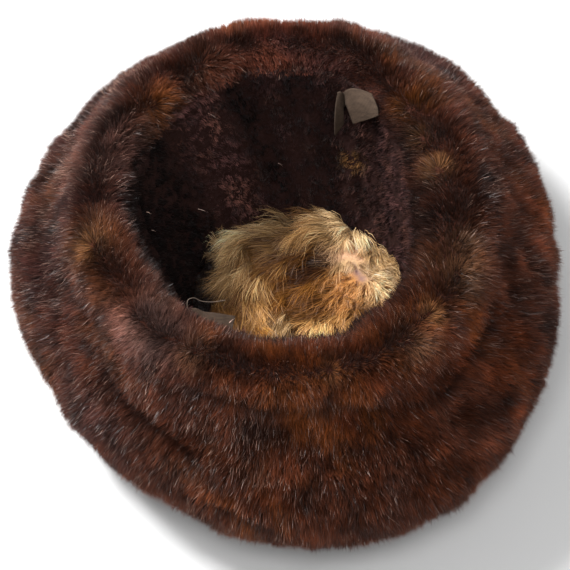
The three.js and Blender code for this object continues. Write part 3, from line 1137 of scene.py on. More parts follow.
def fur_tint(places: np.ndarray, hairs: Grown, seed: int, glints: float) -> np.ndarray:
    """Colours the brown hairs, each from its root to its tip.

    Args:
        places: The hairs' places.
        hairs: The hairs.
        seed: The seed of the layer.
        glints: The share of hairs whose tips get a painted glint.

    Returns:
        A colour for each point of each hair.
    """
    chance = np.random.default_rng(seed)
    number = len(places)
    broad = Drift(11, 0.09).at(places)
    fine = Drift(12, 0.026).at(places)
    rust = rise(broad + 0.6 * fine, -0.1, 2.2)[:, None]
    plum = rise(-broad + 0.6 * fine, -0.2, 2.0)[:, None]
    colour = blend(Tone.RED_BROWN.line, Tone.RUST.line, rust)
    colour = blend(colour, Tone.PLUM.line, 0.75 * plum)
    dark = rise(Drift(13, 0.03).at(places) + 1.4 * (hairs.value - 0.5), 0.4, 2.2)[:, None]
    colour = blend(colour, Tone.DEEP.line, 0.75 * dark)
    ruddy = rise(places @ RUDDY_WAY, -0.02, 0.12)[:, None]
    colour = colour * (1 - ruddy * RUDDY_LOSS) * FUR_LIGHT
    chosen = glints
    # Painted light and shade over broad parts, with more or fewer painted glints there.
    for part in PAINTED_LIGHTS:
        near = part.near(places)
        colour = colour * (1 + (part.light - 1) * near)[:, None]
        chosen = chosen * (1 + part.glints * near)
    for spot in SPOTS:
        share = (spot.near(places) * spot.strength)[:, None]
        colour = blend(colour, spot.tone.line * SPOT_LIGHT, share)
    soft = np.exp(0.24 * Drift(14, 0.034).at(places) + 0.16 * Drift(15, 0.015, 40).at(places))
    bright = np.exp(chance.normal(0, 0.26, number))
    # Hairs at the edges of their tufts are darker: painted shade between the tufts.
    bright *= (0.87 + 0.26 * hairs.value) * (1.13 - 0.3 * hairs.edge)
    colour = colour * np.maximum(bright * soft, 0.05)[:, None]
    # Painted glints: pale tips, in clusters, stand in for highlights on the hairs.
    flecked = rise(Drift(16, 0.022, 40).at(places) + 0.5 * Drift(17, 0.08).at(places), -0.6, 1.6)
    pale = chance.uniform(size=number) < chosen * (0.4 + 1.8 * flecked)
    bent = hairs.points.shape[1] == len(BENT_STEPS)
    steps = BENT_STEPS if bent else STRAIGHT_STEPS
    shades = np.stack([colour * step for step in steps], axis=1)
    glow = Tone.GLINT.line * chance.uniform(0.3, 1.3, (pale.sum(), 1))
    shades[pale, -1] = glow
    if bent:
        shades[pale, 1] = blend(shades[pale, 1], glow, 0.2)
    return np.clip(shades, 0, 1)


def shed(name: str, hairs: Grown, tint: np.ndarray, coat: Coat, finish: HairFinish) -> None:
    """Makes the meshes of one layer, each small enough to be handed in.

    Args:
        name: The layer's name.
        hairs: Its hairs.
        tint: A colour for each point of each hair.
        coat: The layer's measures.
        finish: Its finish.
    """
    material = finish.material()
    number = len(hairs.points)
    parts = math.ceil(number / BLADES_IN_A_PIECE)
    thick = coat.width * np.exp(np.random.default_rng(number).normal(0, 0.2, number))
    for part in range(parts):
        mine = slice(part, None, parts)
        blades = Blades(hairs.points[mine], hairs.across[mine], thick[mine], tint[mine])
        label = name if parts == 1 else f"{name}_{part + 1}"
        place_piece(blades.piece(label, material))


def splayed(places: np.ndarray, out: np.ndarray, flow: np.ndarray) -> np.ndarray:
    """Turns the hair away from the spots.

    Args:
        places: The hairs' places.
        out: The unit ways out of the surface.
        flow: The ways the hair lies.

    Returns:
        The new unit ways.
    """
    turned = flow.copy()
    for spot in SPOTS:
        away = places - spot.middle
        away -= out * np.sum(away * out, axis=1)[:, None]
        turned += unit(away) * (spot.near(places) * 1.8 * spot.splay)[:, None]
    turned -= out * np.sum(turned * out, axis=1)[:, None]
    return turned / np.maximum(np.linalg.norm(turned, axis=1, keepdims=True), 1)


# The lip of fur over the crown's seam on the near side: how far right and how high, in millimetres.
SEAM_LIP = ((-46, 79), (-38.3, 77.5), (-32.5, 76), (-25.8, 74), (-17.8, 72), (-9, 69))


def below_lip(places: np.ndarray) -> tuple[np.ndarray, np.ndarray]:
    """How far each hair is below the seam's lip on the near side, and how near its line.

    Args:
        places: The hairs' places.

    Returns:
        The height over the lip's line in metres, and 1 beside the line falling to 0 past its ends.
    """
    right, level = np.array(SEAM_LIP).T * MM
    height = places[:, 2] - np.interp(places[:, 0], right, level)
    ends = rise(places[:, 0], -0.05, -0.043) * (1 - rise(places[:, 0], -0.014, -0.004))
    return height, ends * (places[:, 1] < 0)


def swell(places: np.ndarray) -> np.ndarray:
    """How far the fur swells out at each place."""
    return 0.0009 * Drift(SEED + 5, 0.035).at(places) + 0.0004 * Drift(SEED + 6, 0.016).at(places)


def standing(places: np.ndarray) -> np.ndarray:
    """How much the fur stands up at each place, from 0 to 1."""
    return np.clip(0.25 + 0.2 * Drift(SEED + 7, 0.04).at(places), 0, 0.8)


# What the guard hairs of the crown and the cuff have in common.
GUARD_LIE = {"tuft": 0.009, "tuft_turn": 34, "pull": 0.2, "roll": 45, "bent": True}


class DeepFur:
    """What the fur of the crown and of the cuff have in common."""

    surface: RoundSurface
    inset: float

    def up(self, share: np.ndarray) -> np.ndarray:
        """How far up from the crown's flat face each share lies, in millimetres."""
        raise NotImplementedError

    def step(self, share: np.ndarray) -> np.ndarray:
        """How far up the slope over the crease each share lies."""
        raise NotImplementedError

    def uneven(self, share: np.ndarray) -> np.ndarray | float:
        """How much the fur swells at each share."""
        return 1.0

    def face(self, bearing: np.ndarray, share: np.ndarray) -> tuple[np.ndarray, np.ndarray]:
        """The outer form, with the slope over the crease, and softly uneven.

        Args:
            bearing: Bearings in degrees.
            share: Shares along the surface.

        Returns:
            The places and the ways out of the form there.
        """
        place = self.surface.point(bearing, share)
        out = self.surface.ways(bearing, share)[0]
        place, out = SLOPE.laid(bearing, self.step(share), place, out)
        depth, _ = furrowed(bearing, self.up(share))
        return place + out * (swell(place) * self.uneven(share) - depth)[:, None], out

    def sunk(self, bearing: np.ndarray, share: float) -> np.ndarray:
        """The pelt's ring under the outer form at one share."""
        place, out = self.face(bearing, np.full(bearing.shape, share))
        return place - out * self.inset

    def ground(self, low: float, high: float, count: int, seed: int) -> Growth:
        """Spreads one layer's roots between two shares.

        Args:
            low: The lowest share.
            high: The highest share.
            count: About how many roots there are.
            seed: The seed of the layer.

        Returns:
            The roots.
        """
        bearing, share = scatter(self.surface, low, high, count, np.random.default_rng(seed))
        round_way = self.surface.ways(bearing, share)[2]
        place, out = self.face(bearing, share)
        return Growth(bearing, share, place, out, unit(np.cross(out, round_way)))


@dataclass
class CrownFur(DeepFur):
    """The crown: its pelt in two pieces, with underfur and guard hairs over each."""

    under: Coat = field(default_factory=lambda: Coat(184000, 0.0062, 0.0009, 0.0010, 0.0044, 0.4, 0.0005))
    guard: Coat = field(
        default_factory=lambda: Coat(47000, 0.0046, 0.0020, 0.0012, 0.0048, 0.4, 0.00027, **GUARD_LIE)
    )
    under_top: Coat = field(default_factory=lambda: Coat(60000, 0.0055, 0.0004, 0.0009, 0.0050, 0.4, 0.00066))
    inset: float = 0.0058
    underside_count: int = 9000
    surface: RoundSurface = CROWN

    def up(self, share: np.ndarray) -> np.ndarray:
        """How far up from the crown's flat face each share lies, in millimetres."""
        return share * CROWN.length / MM

    def step(self, share: np.ndarray) -> np.ndarray:
        """How far up the slope over the crease each share lies."""
        return SLOPE.crown_step(share)

    def uneven(self, share: np.ndarray) -> np.ndarray | float:
        """How much the fur swells at each share: not where the cap lies on it."""
        return rise(share, 0.0, 0.2)

    def pelts(self) -> None:
        """Moulds the pelt of the side band and of the round top."""
        brown = PeltFinish("crown_pelt_brown", Tone.DEEP, Tone.RED_BROWN, FUR_GRAIN).material()
        shares = [*np.linspace(1, SEAM_SHARE, 12)]
        rings = [lambda b, s=share: self.sunk(b, s) for share in shares]
        rings += [
            lambda b, s=share: CROWN.point(b, np.full(b.shape, s), -PELT_THICKNESS * MM)
            for share in (SEAM_SHARE, 0.6, 0.8, 1)
        ]
        side = ring_band("crown_side_pelt", FUR_COLUMNS, len(rings))
        mould(side, rings, closed=True)
        soften(side, 1, brown)
        place_piece(side, ("crown_side",))
        rings = self.bowl()
        top = ring_band("crown_top_pelt", FUR_COLUMNS, len(rings))
        mould(top, rings, closed=False)
        soften(top, 1, brown)
        place_piece(top, ("crown_top",))

    def bowl(self) -> list[Ring]:
        """The rings of the round top.

        Returns:
            The rings, from the middle of its inside to the middle of its underside.
        """

        def level(size: float, height: float) -> Ring:
            """A flat ring at a share of the flat face's size."""

            def place(bearing: np.ndarray) -> np.ndarray:
                """The ring's points at their bearings.

                Args:
                    bearing: Bearings in degrees.

                Returns:
                    The points.
                """
                edge = CROWN.base(bearing, np.zeros(bearing.shape)) * size
                edge[:, 2] = height
                return edge

            return place

        def wall(share: float, lift: float) -> Ring:
            """A ring on the crown's side."""
            return lambda bearing: CROWN.point(bearing, np.full(bearing.shape, share), lift)

        thick = PELT_THICKNESS * MM
        return [
            level(0, 0.012),
            level(0.6, 0.012),
            level(1, 0.0125),
            wall(0.2, -thick),
            wall(SEAM_SHARE, -thick),
            lambda bearing: self.sunk(bearing, SEAM_SHARE),
            wall(0.26, -self.inset),
            wall(0.12, -self.inset),
            level(0.99, 0.0042),
            level(0.6, 0.0035),
            level(0, 0.0035),
        ]

    def hair(
        self, name: str, coat: Coat, shares: tuple[float, float], finish: HairFinish, seed: int, glints: float
    ) -> None:
        """Grows one layer of the crown's hair.

        Args:
            name: The layer's name.
            coat: The layer.
            shares: The lowest and the highest share that it grows at.
            finish: Its finish.
            seed: Its seed.
            glints: The share of hairs with painted glints.
        """
        ground = self.ground(*shares, coat.count, seed)
        flow = splayed(ground.place, ground.out, -ground.along)
        hairs = grow(coat, ground, flow, standing(ground.place), seed)
        # The furrows' darkening is painted shade in the creases.
        _, dark = furrowed(ground.bearing, self.up(ground.share))
        tint = fur_tint(ground.place, hairs, seed + 3, glints) * (1 - dark)[:, None, None]
        height, near = below_lip(ground.place)
        # Painted light on the edge of the lip over the seam.
        lip = near * bell(height - 0.0035, 0.003)
        hairs.points[:, -1] += ground.out * (lip * 0.0028)[:, None]
        tint[:, -1] = tint[:, -1] * (1 + 0.5 * lip[:, None])
        # Painted shade in the sunk fur just below the lip.
        gap = near * bell(height + 0.0035, 0.0035)
        hairs.points[:, -1] -= ground.out * (gap * 0.004)[:, None]
        tint *= (1 - 0.75 * gap)[:, None, None]
        shed(name, hairs, tint, coat, finish)

    def build(self) -> None:
        """Makes the crown's pieces."""
        self.pelts()
        soft = HairFinish("crown_underfur_brown", 0.6, 0.2, 0.05)
        glossy = HairFinish("crown_guard_hair_brown", 0.34, 0.5)
        side = (SEAM_SHARE, 1.0)
        self.hair("crown_side_underfur", self.under, side, soft, SEED + 10, 0.004)
        side = (SEAM_SHARE - 0.02, 1.0)
        self.hair("crown_side_guard_hairs", self.guard, side, glossy, SEED + 20, 0.13)
        self.hair("crown_top_underfur", self.under_top, (0.0, SEAM_SHARE), soft, SEED + 30, 0.03)
        self.underside()

    def underside(self) -> None:
        """Lays short hair flat on the face that the cap lies on."""
        chance = np.random.default_rng(SEED + 40)
        count = self.underside_count
        size = np.sqrt(chance.uniform(0.0, 1.0, count))
        bearing = chance.uniform(0, 360, count)
        place = CROWN.base(bearing, np.zeros(count)) * size[:, None]
        place[:, 2] = 0.0042
        heading = unit(CROWN.base(bearing + 1, np.zeros(count)) - CROWN.base(bearing - 1, np.zeros(count)))
        swirl = np.radians(chance.normal(0, 20, count) + 20 * Drift(SEED + 41, 0.05).at(place))[:, None]
        inward = unit(-place * np.array([1, 1, 0]))
        lie = inward * np.cos(swirl) + heading * np.sin(swirl)
        tip = place + lie * chance.uniform(0.008, 0.013, count)[:, None]
        tip[:, 2] = chance.uniform(FLOOR_CLEARANCE, 4 * FLOOR_CLEARANCE, count)
        middle = place * 0.6 + tip * 0.4
        middle[:, 2] = 0.0028
        across = unit(np.cross(np.array([0.0, 0, -1]), lie))
        points = np.stack([place, middle, tip], axis=1)
        hairs = Grown(points, across, chance.uniform(size=count), np.full(count, 0.4))
        tint = fur_tint(place, hairs, SEED + 42, 0.01)
        blades = Blades(points, across, np.full(count, 0.0011), tint)
        finish = HairFinish("crown_underside_brown", 0.6, 0.35, 0.2)
        place_piece(blades.piece("crown_top_underside_hair", finish.material()))


@dataclass
class CuffFur(DeepFur):
    """The rolled cuff, with hair that parts on its outer shoulder."""

    under: Coat = field(default_factory=lambda: Coat(124000, 0.0058, 0.0009, 0.0010, 0.0052, 0.4, 0.00048))
    guard: Coat = field(
        default_factory=lambda: Coat(34000, 0.0046, 0.0020, 0.0013, 0.0060, 0.4, 0.00027, **GUARD_LIE)
    )
    inset: float = 0.0048
    surface: RoundSurface = CUFF
    # The parting's share of the cuff's surface every 30 degrees of bearing.
    parting: tuple[float, ...] = (0.62, 0.66, 0.6, 0.45, 0.5, 0.52, 0.42, 0.4, 0.5, 0.5, 0.5, 0.55)
    # Bearing and spread of the two places at the rim where the hair leaves the tabs free.
    tab_gaps: tuple[tuple[float, float], ...] = ((51, 9), (237, 14))
    # The middle of the hollow at the rim.
    hollow: Place = (-0.0077, -0.0107, 0)

    def up(self, share: np.ndarray) -> np.ndarray:
        """How far up from the crown's flat face each share lies, in millimetres."""
        return (CROWN.length + share * CUFF.length) / MM

    def step(self, share: np.ndarray) -> np.ndarray:
        """How far up the slope over the crease each share lies."""
        return SLOPE.cuff_step(share)

    def pelt(self) -> None:
        """Moulds the roll."""
        brown = PeltFinish("cuff_pelt_brown", Tone.DEEP, Tone.RED_BROWN, FUR_GRAIN).material()
        rings = [lambda b, s=share: self.sunk(b, s) for share in np.linspace(0, 1, 12)]
        rings.append(lambda b: CUFF_REAR.base(b, np.zeros(b.shape)))
        rings.append(lambda b: CUFF_REAR.base(b, np.ones(b.shape)))
        over = np.array([0, 0, 0.0006])
        rings.append(lambda b: CROWN.point(b, np.ones(b.shape), -PELT_THICKNESS * MM) + over)
        roll = ring_band("cuff_pelt", FUR_COLUMNS, len(rings))
        mould(roll, rings, closed=True)
        soften(roll, 1, brown)
        place_piece(roll, ("cuff",))

    def hair(self, name: str, coat: Coat, finish: HairFinish, seed: int, glints: float) -> None:
        """Grows one layer of the cuff's hair.

        Args:
            name: The piece's name.
            coat: The layer.
            finish: Its finish.
            seed: Its seed.
            glints: The share of hairs with painted glints.
        """
        ground = self.ground(0.0, 1.0, coat.count, seed)
        bearing, share, place, out = ground.bearing, ground.share, ground.place, ground.out
        past = (share - round_value(bearing, self.parting)) * CUFF.length
        past += 0.006 * Drift(seed + 6, 0.05).at(place)
        inward = unit(np.array(self.hollow) - place * np.array([1, 1, 0]))
        over = rise(share, 0.75, 1.0)[:, None]
        flow = ground.along * np.tanh(past / 0.016)[:, None] * (1 - 0.7 * over) + inward * over * 0.3
        hairs = grow(coat, ground, splayed(place, out, flow), standing(place), seed)
        clear = sum(bell(turn_between(middle, bearing), spread) for middle, spread in self.tab_gaps)
        clear = (0.8 * clear * rise(share, 0.78, 0.95))[:, None]
        hairs.points[:, -1] = blend(hairs.points[:, -1], place - out * 0.001, clear)
        # The furrows' darkening is painted shade in the creases.
        _, dark = furrowed(bearing, self.up(share))
        # Painted shade on the inside of the rim, except on the far side.
        rim = 0.75 * rise(share, 0.74, 0.98) * (1 - bell(turn_between(90, bearing), 50))
        tint = fur_tint(place, hairs, seed + 3, glints) * ((1 - dark) * (1 - rim))[:, None, None]
        shed(name, hairs, tint, coat, finish)

    def build(self) -> None:
        """Makes the cuff's pieces."""
        self.pelt()
        soft = HairFinish("cuff_underfur_brown", 0.6, 0.2, 0.05)
        glossy = HairFinish("cuff_guard_hair_brown", 0.36, 0.4)
        self.hair("cuff_underfur", self.under, soft, SEED + 50, 0.008)
        self.hair("cuff_guard_hairs", self.guard, glossy, SEED + 60, 0.10)


# Lit and dark upright bands of the plush: bearing at the rim, slant, spread and gain in light.
PLUSH_SHADES = (
    (124, 6, 11, 4.5),
    (108, 17, 6.5, -0.95),
    (82, 14, 6, -0.65),
    (93, 8, 5, 0.9),
    (24, 0, 36, 0.5),
)


@dataclass
class PlushLining:
    """The sheared plush band round the hollow."""

    pile: Coat = field(
        default_factory=lambda: Coat(
            *(100000, 0.0035, 0.0004, 0.0005, 0.0014, 0.5, 0.0006),
            tuft=0.004,
            tuft_turn=360,
            relief=0.0014,
            jitter=40,
            roll=50,
        )
    )
    # A worn place under the far tab, where the ground shows.
    worn: Place = (0.041, 0.067, 0.086)
    worn_spread: float = 0.007

    def band(self) -> None:
        """Moulds the band's backing."""
        dark = PeltFinish("plush_backing_dark", Tone.DEEP, Tone.PLUSH, 500).material()
        front = [*np.linspace(0, 1, 9)]
        rings = [lambda b, s=share: self.face(b, np.full(b.shape, s), 0.0022) for share in front]
        rings += [
            lambda b, s=share: lining_point(b, np.full(b.shape, s), LINING_THICKNESS * MM)
            for share in (1, 0.6, 0.3, 0.02)
        ]
        band = ring_band("plush_band", PLUSH_COLUMNS, len(rings))
        mould(band, rings, closed=True)
        soften(band, 1, dark)
        place_piece(band, ("lining_wall",))

    def face(self, bearing: np.ndarray, share: np.ndarray, inset: float) -> np.ndarray:
        """The curly face of the plush.

        Args:
            bearing: Bearings in degrees.
            share: Shares from the rim to the foot.
            inset: How far behind the face the point lies, in metres.

        Returns:
            A point for each place.
        """
        place = lining_point(bearing, share, inset)
        bumps = 0.0011 * Drift(SEED + 71, 0.013, 40).at(place)
        bumps += 0.0008 * Drift(SEED + 73, 0.007, 40).at(place)
        return place + LINING.ways(bearing, share)[0] * bumps[:, None]

    def nap(self) -> None:
        """Grows the plush's curly pile."""
        chance = np.random.default_rng(SEED + 70)
        bearing, share = scatter(LINING, 0.0, 1.0, self.pile.count, chance)
        out, along, _ = LINING.ways(bearing, share)
        place = self.face(bearing, share, 0)
        ground = Growth(bearing, share, place, out, along)
        hairs = grow(self.pile, ground, along, np.full(len(place), 0.3), SEED + 70)
        red = rise(Drift(SEED + 72, 0.03).at(place) + 0.4 * (hairs.value - 0.5), -0.6, 1.6)[:, None]
        colour = blend(Tone.PLUSH.line, Tone.PLUSH_RED.line, red)
        # Mottled in tone, and lighter on the crests of the curly bumps, whose first wave it shares: painted
        # light on the crests.
        mottle_and_crest_light = 0.16 * Drift(SEED + 71, 0.013, 40).at(place) + 0.18 * Drift(SEED + 74, 0.025).at(place)
        # Curls are darker at their edges: painted shade between them.
        bright = np.exp(chance.normal(0, 0.3, len(place)) + mottle_and_crest_light) * (1.3 - 0.65 * hairs.edge)
        colour = colour * bright[:, None]
        worn = bell(np.linalg.norm(place - np.array(self.worn), axis=1), self.worn_spread)[:, None]
        colour = blend(colour, Tone.SAND.line, 0.6 * worn)
        shaded = rise(bearing % 360 + 16 * share, 141, 149) * (1 - rise(bearing % 360, 215, 245))
        colour = colour * (1 - 0.75 * shaded)[:, None]
        for middle, slant, spread, light in PLUSH_SHADES:
            near = bell(turn_between(middle - slant * share, bearing), spread)
            colour = colour * (1 + light * near)[:, None]
        # Dark roots: painted shade deep in the pile.
        tint = np.clip(np.stack([colour * 0.3, colour * 1.1], axis=1), 0, 1)
        shed("plush_pile", hairs, tint, self.pile, HairFinish("plush_pile_dark", 0.85, 0.12, 0.1))

    def build(self) -> None:
        """Makes the lining's pieces."""
        self.band()
        self.nap()


@dataclass(frozen=True)
class PeltPlace:
    """A round place of the tan pelt, in millimetres from the origin."""

    x: float
    y: float
    spread: float

    def near(self, flat: np.ndarray) -> np.ndarray:
        """How near each point is to the place, from 0 to 1, for points in millimetres."""
        return bell(np.hypot(flat[:, 0] - self.x, flat[:, 1] - self.y), self.spread)


@dataclass(frozen=True)
class Sweep(PeltPlace):
    """How the long hair lies round a place: its heading in degrees, length and rise in millimetres."""

    heading: float
    length: float
    tone: Tone
    rise: float = 7


@dataclass(frozen=True)
class BarePatch(PeltPlace):
    """A place where the pelt shows its skin."""

    tone: Tone


BARE_PATCHES = (
    BarePatch(42, 30, 6, Tone.SKIN),
    BarePatch(47, 26, 4, Tone.SKIN),
    BarePatch(35, 26, 3.5, Tone.SKIN),
    BarePatch(41, 17, 3, Tone.LILAC),
    BarePatch(45, 13, 3, Tone.LILAC),
    BarePatch(49, 9, 3, Tone.LILAC),
)

SWEEPS = (
    Sweep(-37, 29, 8, 168, 16, Tone.CREAM, 9),
    Sweep(-24, 16, 11, 228, 26, Tone.CREAM, 9),
    Sweep(-33, -12, 13, 262, 34, Tone.SAND, 8),
    Sweep(-39, -28, 12, 265, 28, Tone.OCHRE, 6),
    Sweep(-15, -3, 12, 245, 32, Tone.SAND, 8),
    Sweep(0, 44, 12, 180, 30, Tone.CREAM, 8),
    Sweep(21, 44, 11, 172, 30, Tone.SAND, 9),
    Sweep(32, 46, 9, 150, 22, Tone.CREAM, 9),
    Sweep(19, 32, 10, 188, 32, Tone.UMBER, 6),
    Sweep(16, 22, 11, 196, 34, Tone.UMBER, 6),
    Sweep(13, 12, 12, 203, 36, Tone.OCHRE, 6),
    Sweep(4, 2, 12, 214, 36, Tone.OCHRE, 7),
    Sweep(-6, 20, 12, 215, 36, Tone.SAND, 8),
    Sweep(17, -10, 11, 195, 30, Tone.OCHRE, 6),
    Sweep(2, -30, 8, 240, 24, Tone.CREAM, 10),
    Sweep(-19, -31, 11, 255, 28, Tone.OCHRE, 7),
    Sweep(23, -26, 11, 215, 24, Tone.SAND, 7),
    Sweep(46, -5, 10, 220, 11, Tone.APRICOT, 5),
    Sweep(41, 4, 8, 215, 9, Tone.APRICOT, 4),
    Sweep(52, 25, 12, 275, 12, Tone.CREAM, 6),
    Sweep(60, 2, 12, 290, 12, Tone.CREAM, 7),
    Sweep(51, -26, 12, 250, 16, Tone.SAND, 7),
    Sweep(43, 37, 9, 255, 13, Tone.CREAM, 7),
    Sweep(47, 58, 7, 95, 18, Tone.OCHRE, 12),
    Sweep(60, 42, 8, 60, 16, Tone.CREAM, 13),
    Sweep(67, 24, 8, 35, 14, Tone.CREAM, 12),
    Sweep(0, -52, 18, 255, 22, Tone.OCHRE, 6),
    Sweep(-50, 0, 12, 265, 16, Tone.OCHRE, 5),
)


@dataclass
class TanPelt:
    """The long-haired pelt that closes the end of the hollow."""

    count: int = 36000
    width: float = 0.00044
    # For each stretch of a hair from its root: its shares of the hair's length and rise, and of
    # the way to the tuft's middle.
    stretches: tuple[tuple[float, float, float], ...] = (
        (0.28, 0.85, 0.25),
        (0.34, 0.15, 0.3),
        (0.38, -0.45, 0.2),
    )
    # Hair from this length down, and from the other up, counts as short and as long.
    short: float = 0.008
    long: float = 0.022

    @staticmethod
    def nearness(flat: np.ndarray) -> np.ndarray:
        """How much each sweep counts at each point.

        Args:
            flat: The points, in millimetres.

        Returns:
            A row of shares for each point.
        """
        weight = np.stack([sweep.near(flat) for sweep in SWEEPS], axis=1) + 1e-9
        return weight / weight.sum(axis=1, keepdims=True)

    @staticmethod
    def covered(flat: np.ndarray, ragged: np.ndarray | float) -> np.ndarray:
        """How much the plush hides each point.

        Args:
            flat: The points, in millimetres.
            ragged: How much further the plush reaches there, in millimetres.

        Returns:
            Shares from 0 to 1.
        """
        left = rise(-flat[:, 0] + ragged, 27, 31) * rise(flat[:, 1], -12, -2) * (1 - rise(flat[:, 1], 21, 26))
        left = np.maximum(left, rise(-flat[:, 0] + ragged, 42, 46))
        return np.maximum(left, rise(flat[:, 1] - (flat[:, 0] + 38) * 0.3 + ragged, 32, 36))

    @staticmethod
    def tone(weight: np.ndarray) -> np.ndarray:
        """The hair's colour from how much each sweep counts.

        Args:
            weight: A row of shares for each hair.

        Returns:
            A colour for each hair.
        """
        sharp = weight**2
        sharp /= sharp.sum(axis=1, keepdims=True)
        return sharp @ np.array([s.tone.value for s in SWEEPS])

    def middle(self) -> np.ndarray:
        """The middle of the pelt's upper face."""
        ends = LINING.base(np.array([0.0, 180.0]), np.array([DISC_SHARE] * 2))
        return ends.mean(axis=0)

    def disc(self) -> None:
        """Moulds the pelt's backing."""
        hide = HairFinish("tan_hide", 0.7, 0.3).material()
        middle = self.middle()

        def level(size: float, drop: float, hump: float) -> Ring:
            """A ring at a share of the disc's size."""

            def place(bearing: np.ndarray) -> np.ndarray:
                """The ring's points at their bearings.

                Args:
                    bearing: Bearings in degrees.

                Returns:
                    The points.
                """
                edge = lining_point(bearing, np.full(bearing.shape, DISC_SHARE), -0.0006)
                points = middle + (edge - middle) * size
                points[:, 2] += hump * (1 + 0.5 * Drift(SEED + 80, 0.04).at(points)) - drop
                return points

            return place

        rings = [level(size, 0, 0.002) for size in (0, 0.3, 0.6)]
        rings += [level(0.85, 0, 0.001), level(1, 0, 0), level(0.995, 0.0022, 0)]
        rings += [level(size, 0.0028, 0) for size in (0.5, 0)]
        disc = ring_band("tan_pelt_hide", DISC_COLUMNS, len(rings))
        mould(disc, rings, closed=False)
        soften(disc, 2, hide)
        corners = np.empty(len(disc.data.vertices) * 3, np.float32)
        disc.data.vertices.foreach_get("co", corners)
        flat = corners.reshape(-1, 3)[:, :2] / MM
        tint = np.ones((len(flat), 4), np.float32)
        weight = self.nearness(flat)
        # The hide shows between the hairs and is painted darker as shade, most under long hair.
        short = 1 - rise(weight @ np.array([s.length for s in SWEEPS]), 10, 26)
        tint[:, :3] = self.tone(weight) * (0.6 + 0.25 * short)[:, None]
        for patch in BARE_PATCHES:
            near = np.clip(patch.near(flat) * 1.3, 0, 1)[:, None]
            tint[:, :3] = blend(tint[:, :3], patch.tone.line, near)
        # Painted shade under the plush where it reaches over the pelt.
        shade_under_plush = self.covered(flat, 2)[:, None]
        tint[:, :3] = blend(tint[:, :3], Tone.DEEP.line * UNDER_PLUSH_SHADE, shade_under_plush)
        disc.data.attributes.new("tint", "FLOAT_COLOR", "POINT").data.foreach_set("color", tint.ravel())
        place_piece(disc, ("crown_lining",))

    def hair(self) -> None:
        """Grows the long hair, each lock the way the sweep nearest to it runs."""
        chance = np.random.default_rng(SEED + 90)
        middle = self.middle()
        size = np.sqrt(chance.uniform(0, 1, self.count)) * 0.985
        bearing = chance.uniform(0, 360, self.count)
        edge = lining_point(bearing, np.full(self.count, DISC_SHARE), -0.001)
        root = middle + (edge - middle) * size[:, None]
        flat = root[:, :2] / MM
        weight = self.nearness(flat)
        headings = np.radians([s.heading for s in SWEEPS])
        heading = np.arctan2(weight @ np.sin(headings), weight @ np.cos(headings))
        ragged = 3 * Drift(SEED + 94, 0.02).at(root) + chance.normal(0, 1.2, self.count)
        covered = self.covered(flat, ragged)
        pull, value, edge = tuft_pull(root, 0.0085, SEED + 91)
        heading += np.radians(16) * (value - 0.5) * 2 + chance.normal(0, math.radians(6), self.count)
        heading += np.radians(12) * Drift(SEED + 92, 0.03).at(root)
        _, lock, lock_edge = tuft_pull(root, 0.015, SEED + 95)
        heading += np.radians(26) * (lock - 0.5)
        length = weight @ np.array([s.length for s in SWEEPS]) * MM * chance.uniform(0.7, 1.15, self.count)
        high = weight @ np.array([s.rise for s in SWEEPS]) * MM * (0.6 + 0.5 * value + 0.5 * lock)
        high *= chance.uniform(0.5, 1.25, self.count)
        colour_of_skin = np.zeros((self.count, 3))
        bare = np.zeros(self.count)
        for patch in BARE_PATCHES:
            near = patch.near(flat)
            colour_of_skin += patch.tone.line * near[:, None]
            bare += near
        colour_of_skin /= np.maximum(bare, 1e-6)[:, None]
        bare = np.clip(bare * 1.15, 0, 0.95)
        length *= (1 - bare) * (1 - 0.8 * covered)
        high *= (1 - bare) * (1 - 0.7 * covered)
        ahead = wide(heading)
        bend = np.radians(chance.normal(8, 9, self.count) + 16 * (value - 0.5))
        curl = wide(heading + bend)
        up = np.array([0, 0, 1.0])
        pull[:, 2] = 0
        stations = [root + up * 0.0004]
        here = root
        ways = (ahead, curl, unit(2 * curl - ahead))
        for way, (run, climb, gather) in zip(ways, self.stretches, strict=True):
            here = here + way * (length * run)[:, None] + up * (high * climb)[:, None] + pull * gather
            stations.append(here)
        points = self.kept_inside(np.stack(stations, axis=1), middle)
        across = unit(np.cross(unit(stations[-1] - stations[0]), up))
        roll = np.radians(chance.normal(0, 25, self.count))[:, None]
        across = unit(across * np.cos(roll) + up * np.sin(roll))
        colour = self.tone(weight)
        shading = 1.4 * (value - 0.5) + 1.5 * (lock - 0.5) + 0.5 - 0.8 * edge - 0.8 * lock_edge**2
        shading += 0.45 * bell(np.hypot(flat[:, 0] + 32, flat[:, 1] - 22), 12)
        shortness = 1 - rise(length, self.short, self.long)
        calm = 1 - 0.75 * shortness
        bright = np.exp(chance.normal(0, 0.25, self.count) + shading * calm)
        deep = np.clip(1 - bright, 0, 1)[:, None]
        colour = colour * (bright[:, None] ** np.array([[0.85, 1.05, 1.35]])) * (1 - 0.2 * deep)
        umber = rise(Drift(SEED + 93, 0.018).at(root) + value - 0.5, 0.3, 1.6)[:, None] * 0.65
        colour = blend(colour, Tone.UMBER.line, umber)
        colour = blend(colour, colour_of_skin, bare[:, None])
        # Painted shade where the plush hides the hair.
        colour = blend(colour, Tone.DEEP.line * UNDER_PLUSH_SHADE, covered[:, None])
        # Painted shade at the roots, less where the hair is short and round the open place at the right.
        open_to_view = bell(np.hypot(flat[:, 0] - 24, flat[:, 1] - 20), 13)
        root_shade = 0.4 + 0.4 * np.maximum(shortness, open_to_view)[:, None]
        shades = [colour * root_shade, colour * (root_shade + 1) / 2, colour * 1.1, colour * 1.25]
        tint = np.clip(np.stack(shades, axis=1), 0, 1)
        blades = Blades(points, across, np.full(self.count, self.width), tint)
        finish = HairFinish("tan_hair", 0.45, 0.4, 0.1, 0.2)
        place_piece(blades.piece("tan_pelt_hair", finish.material()))

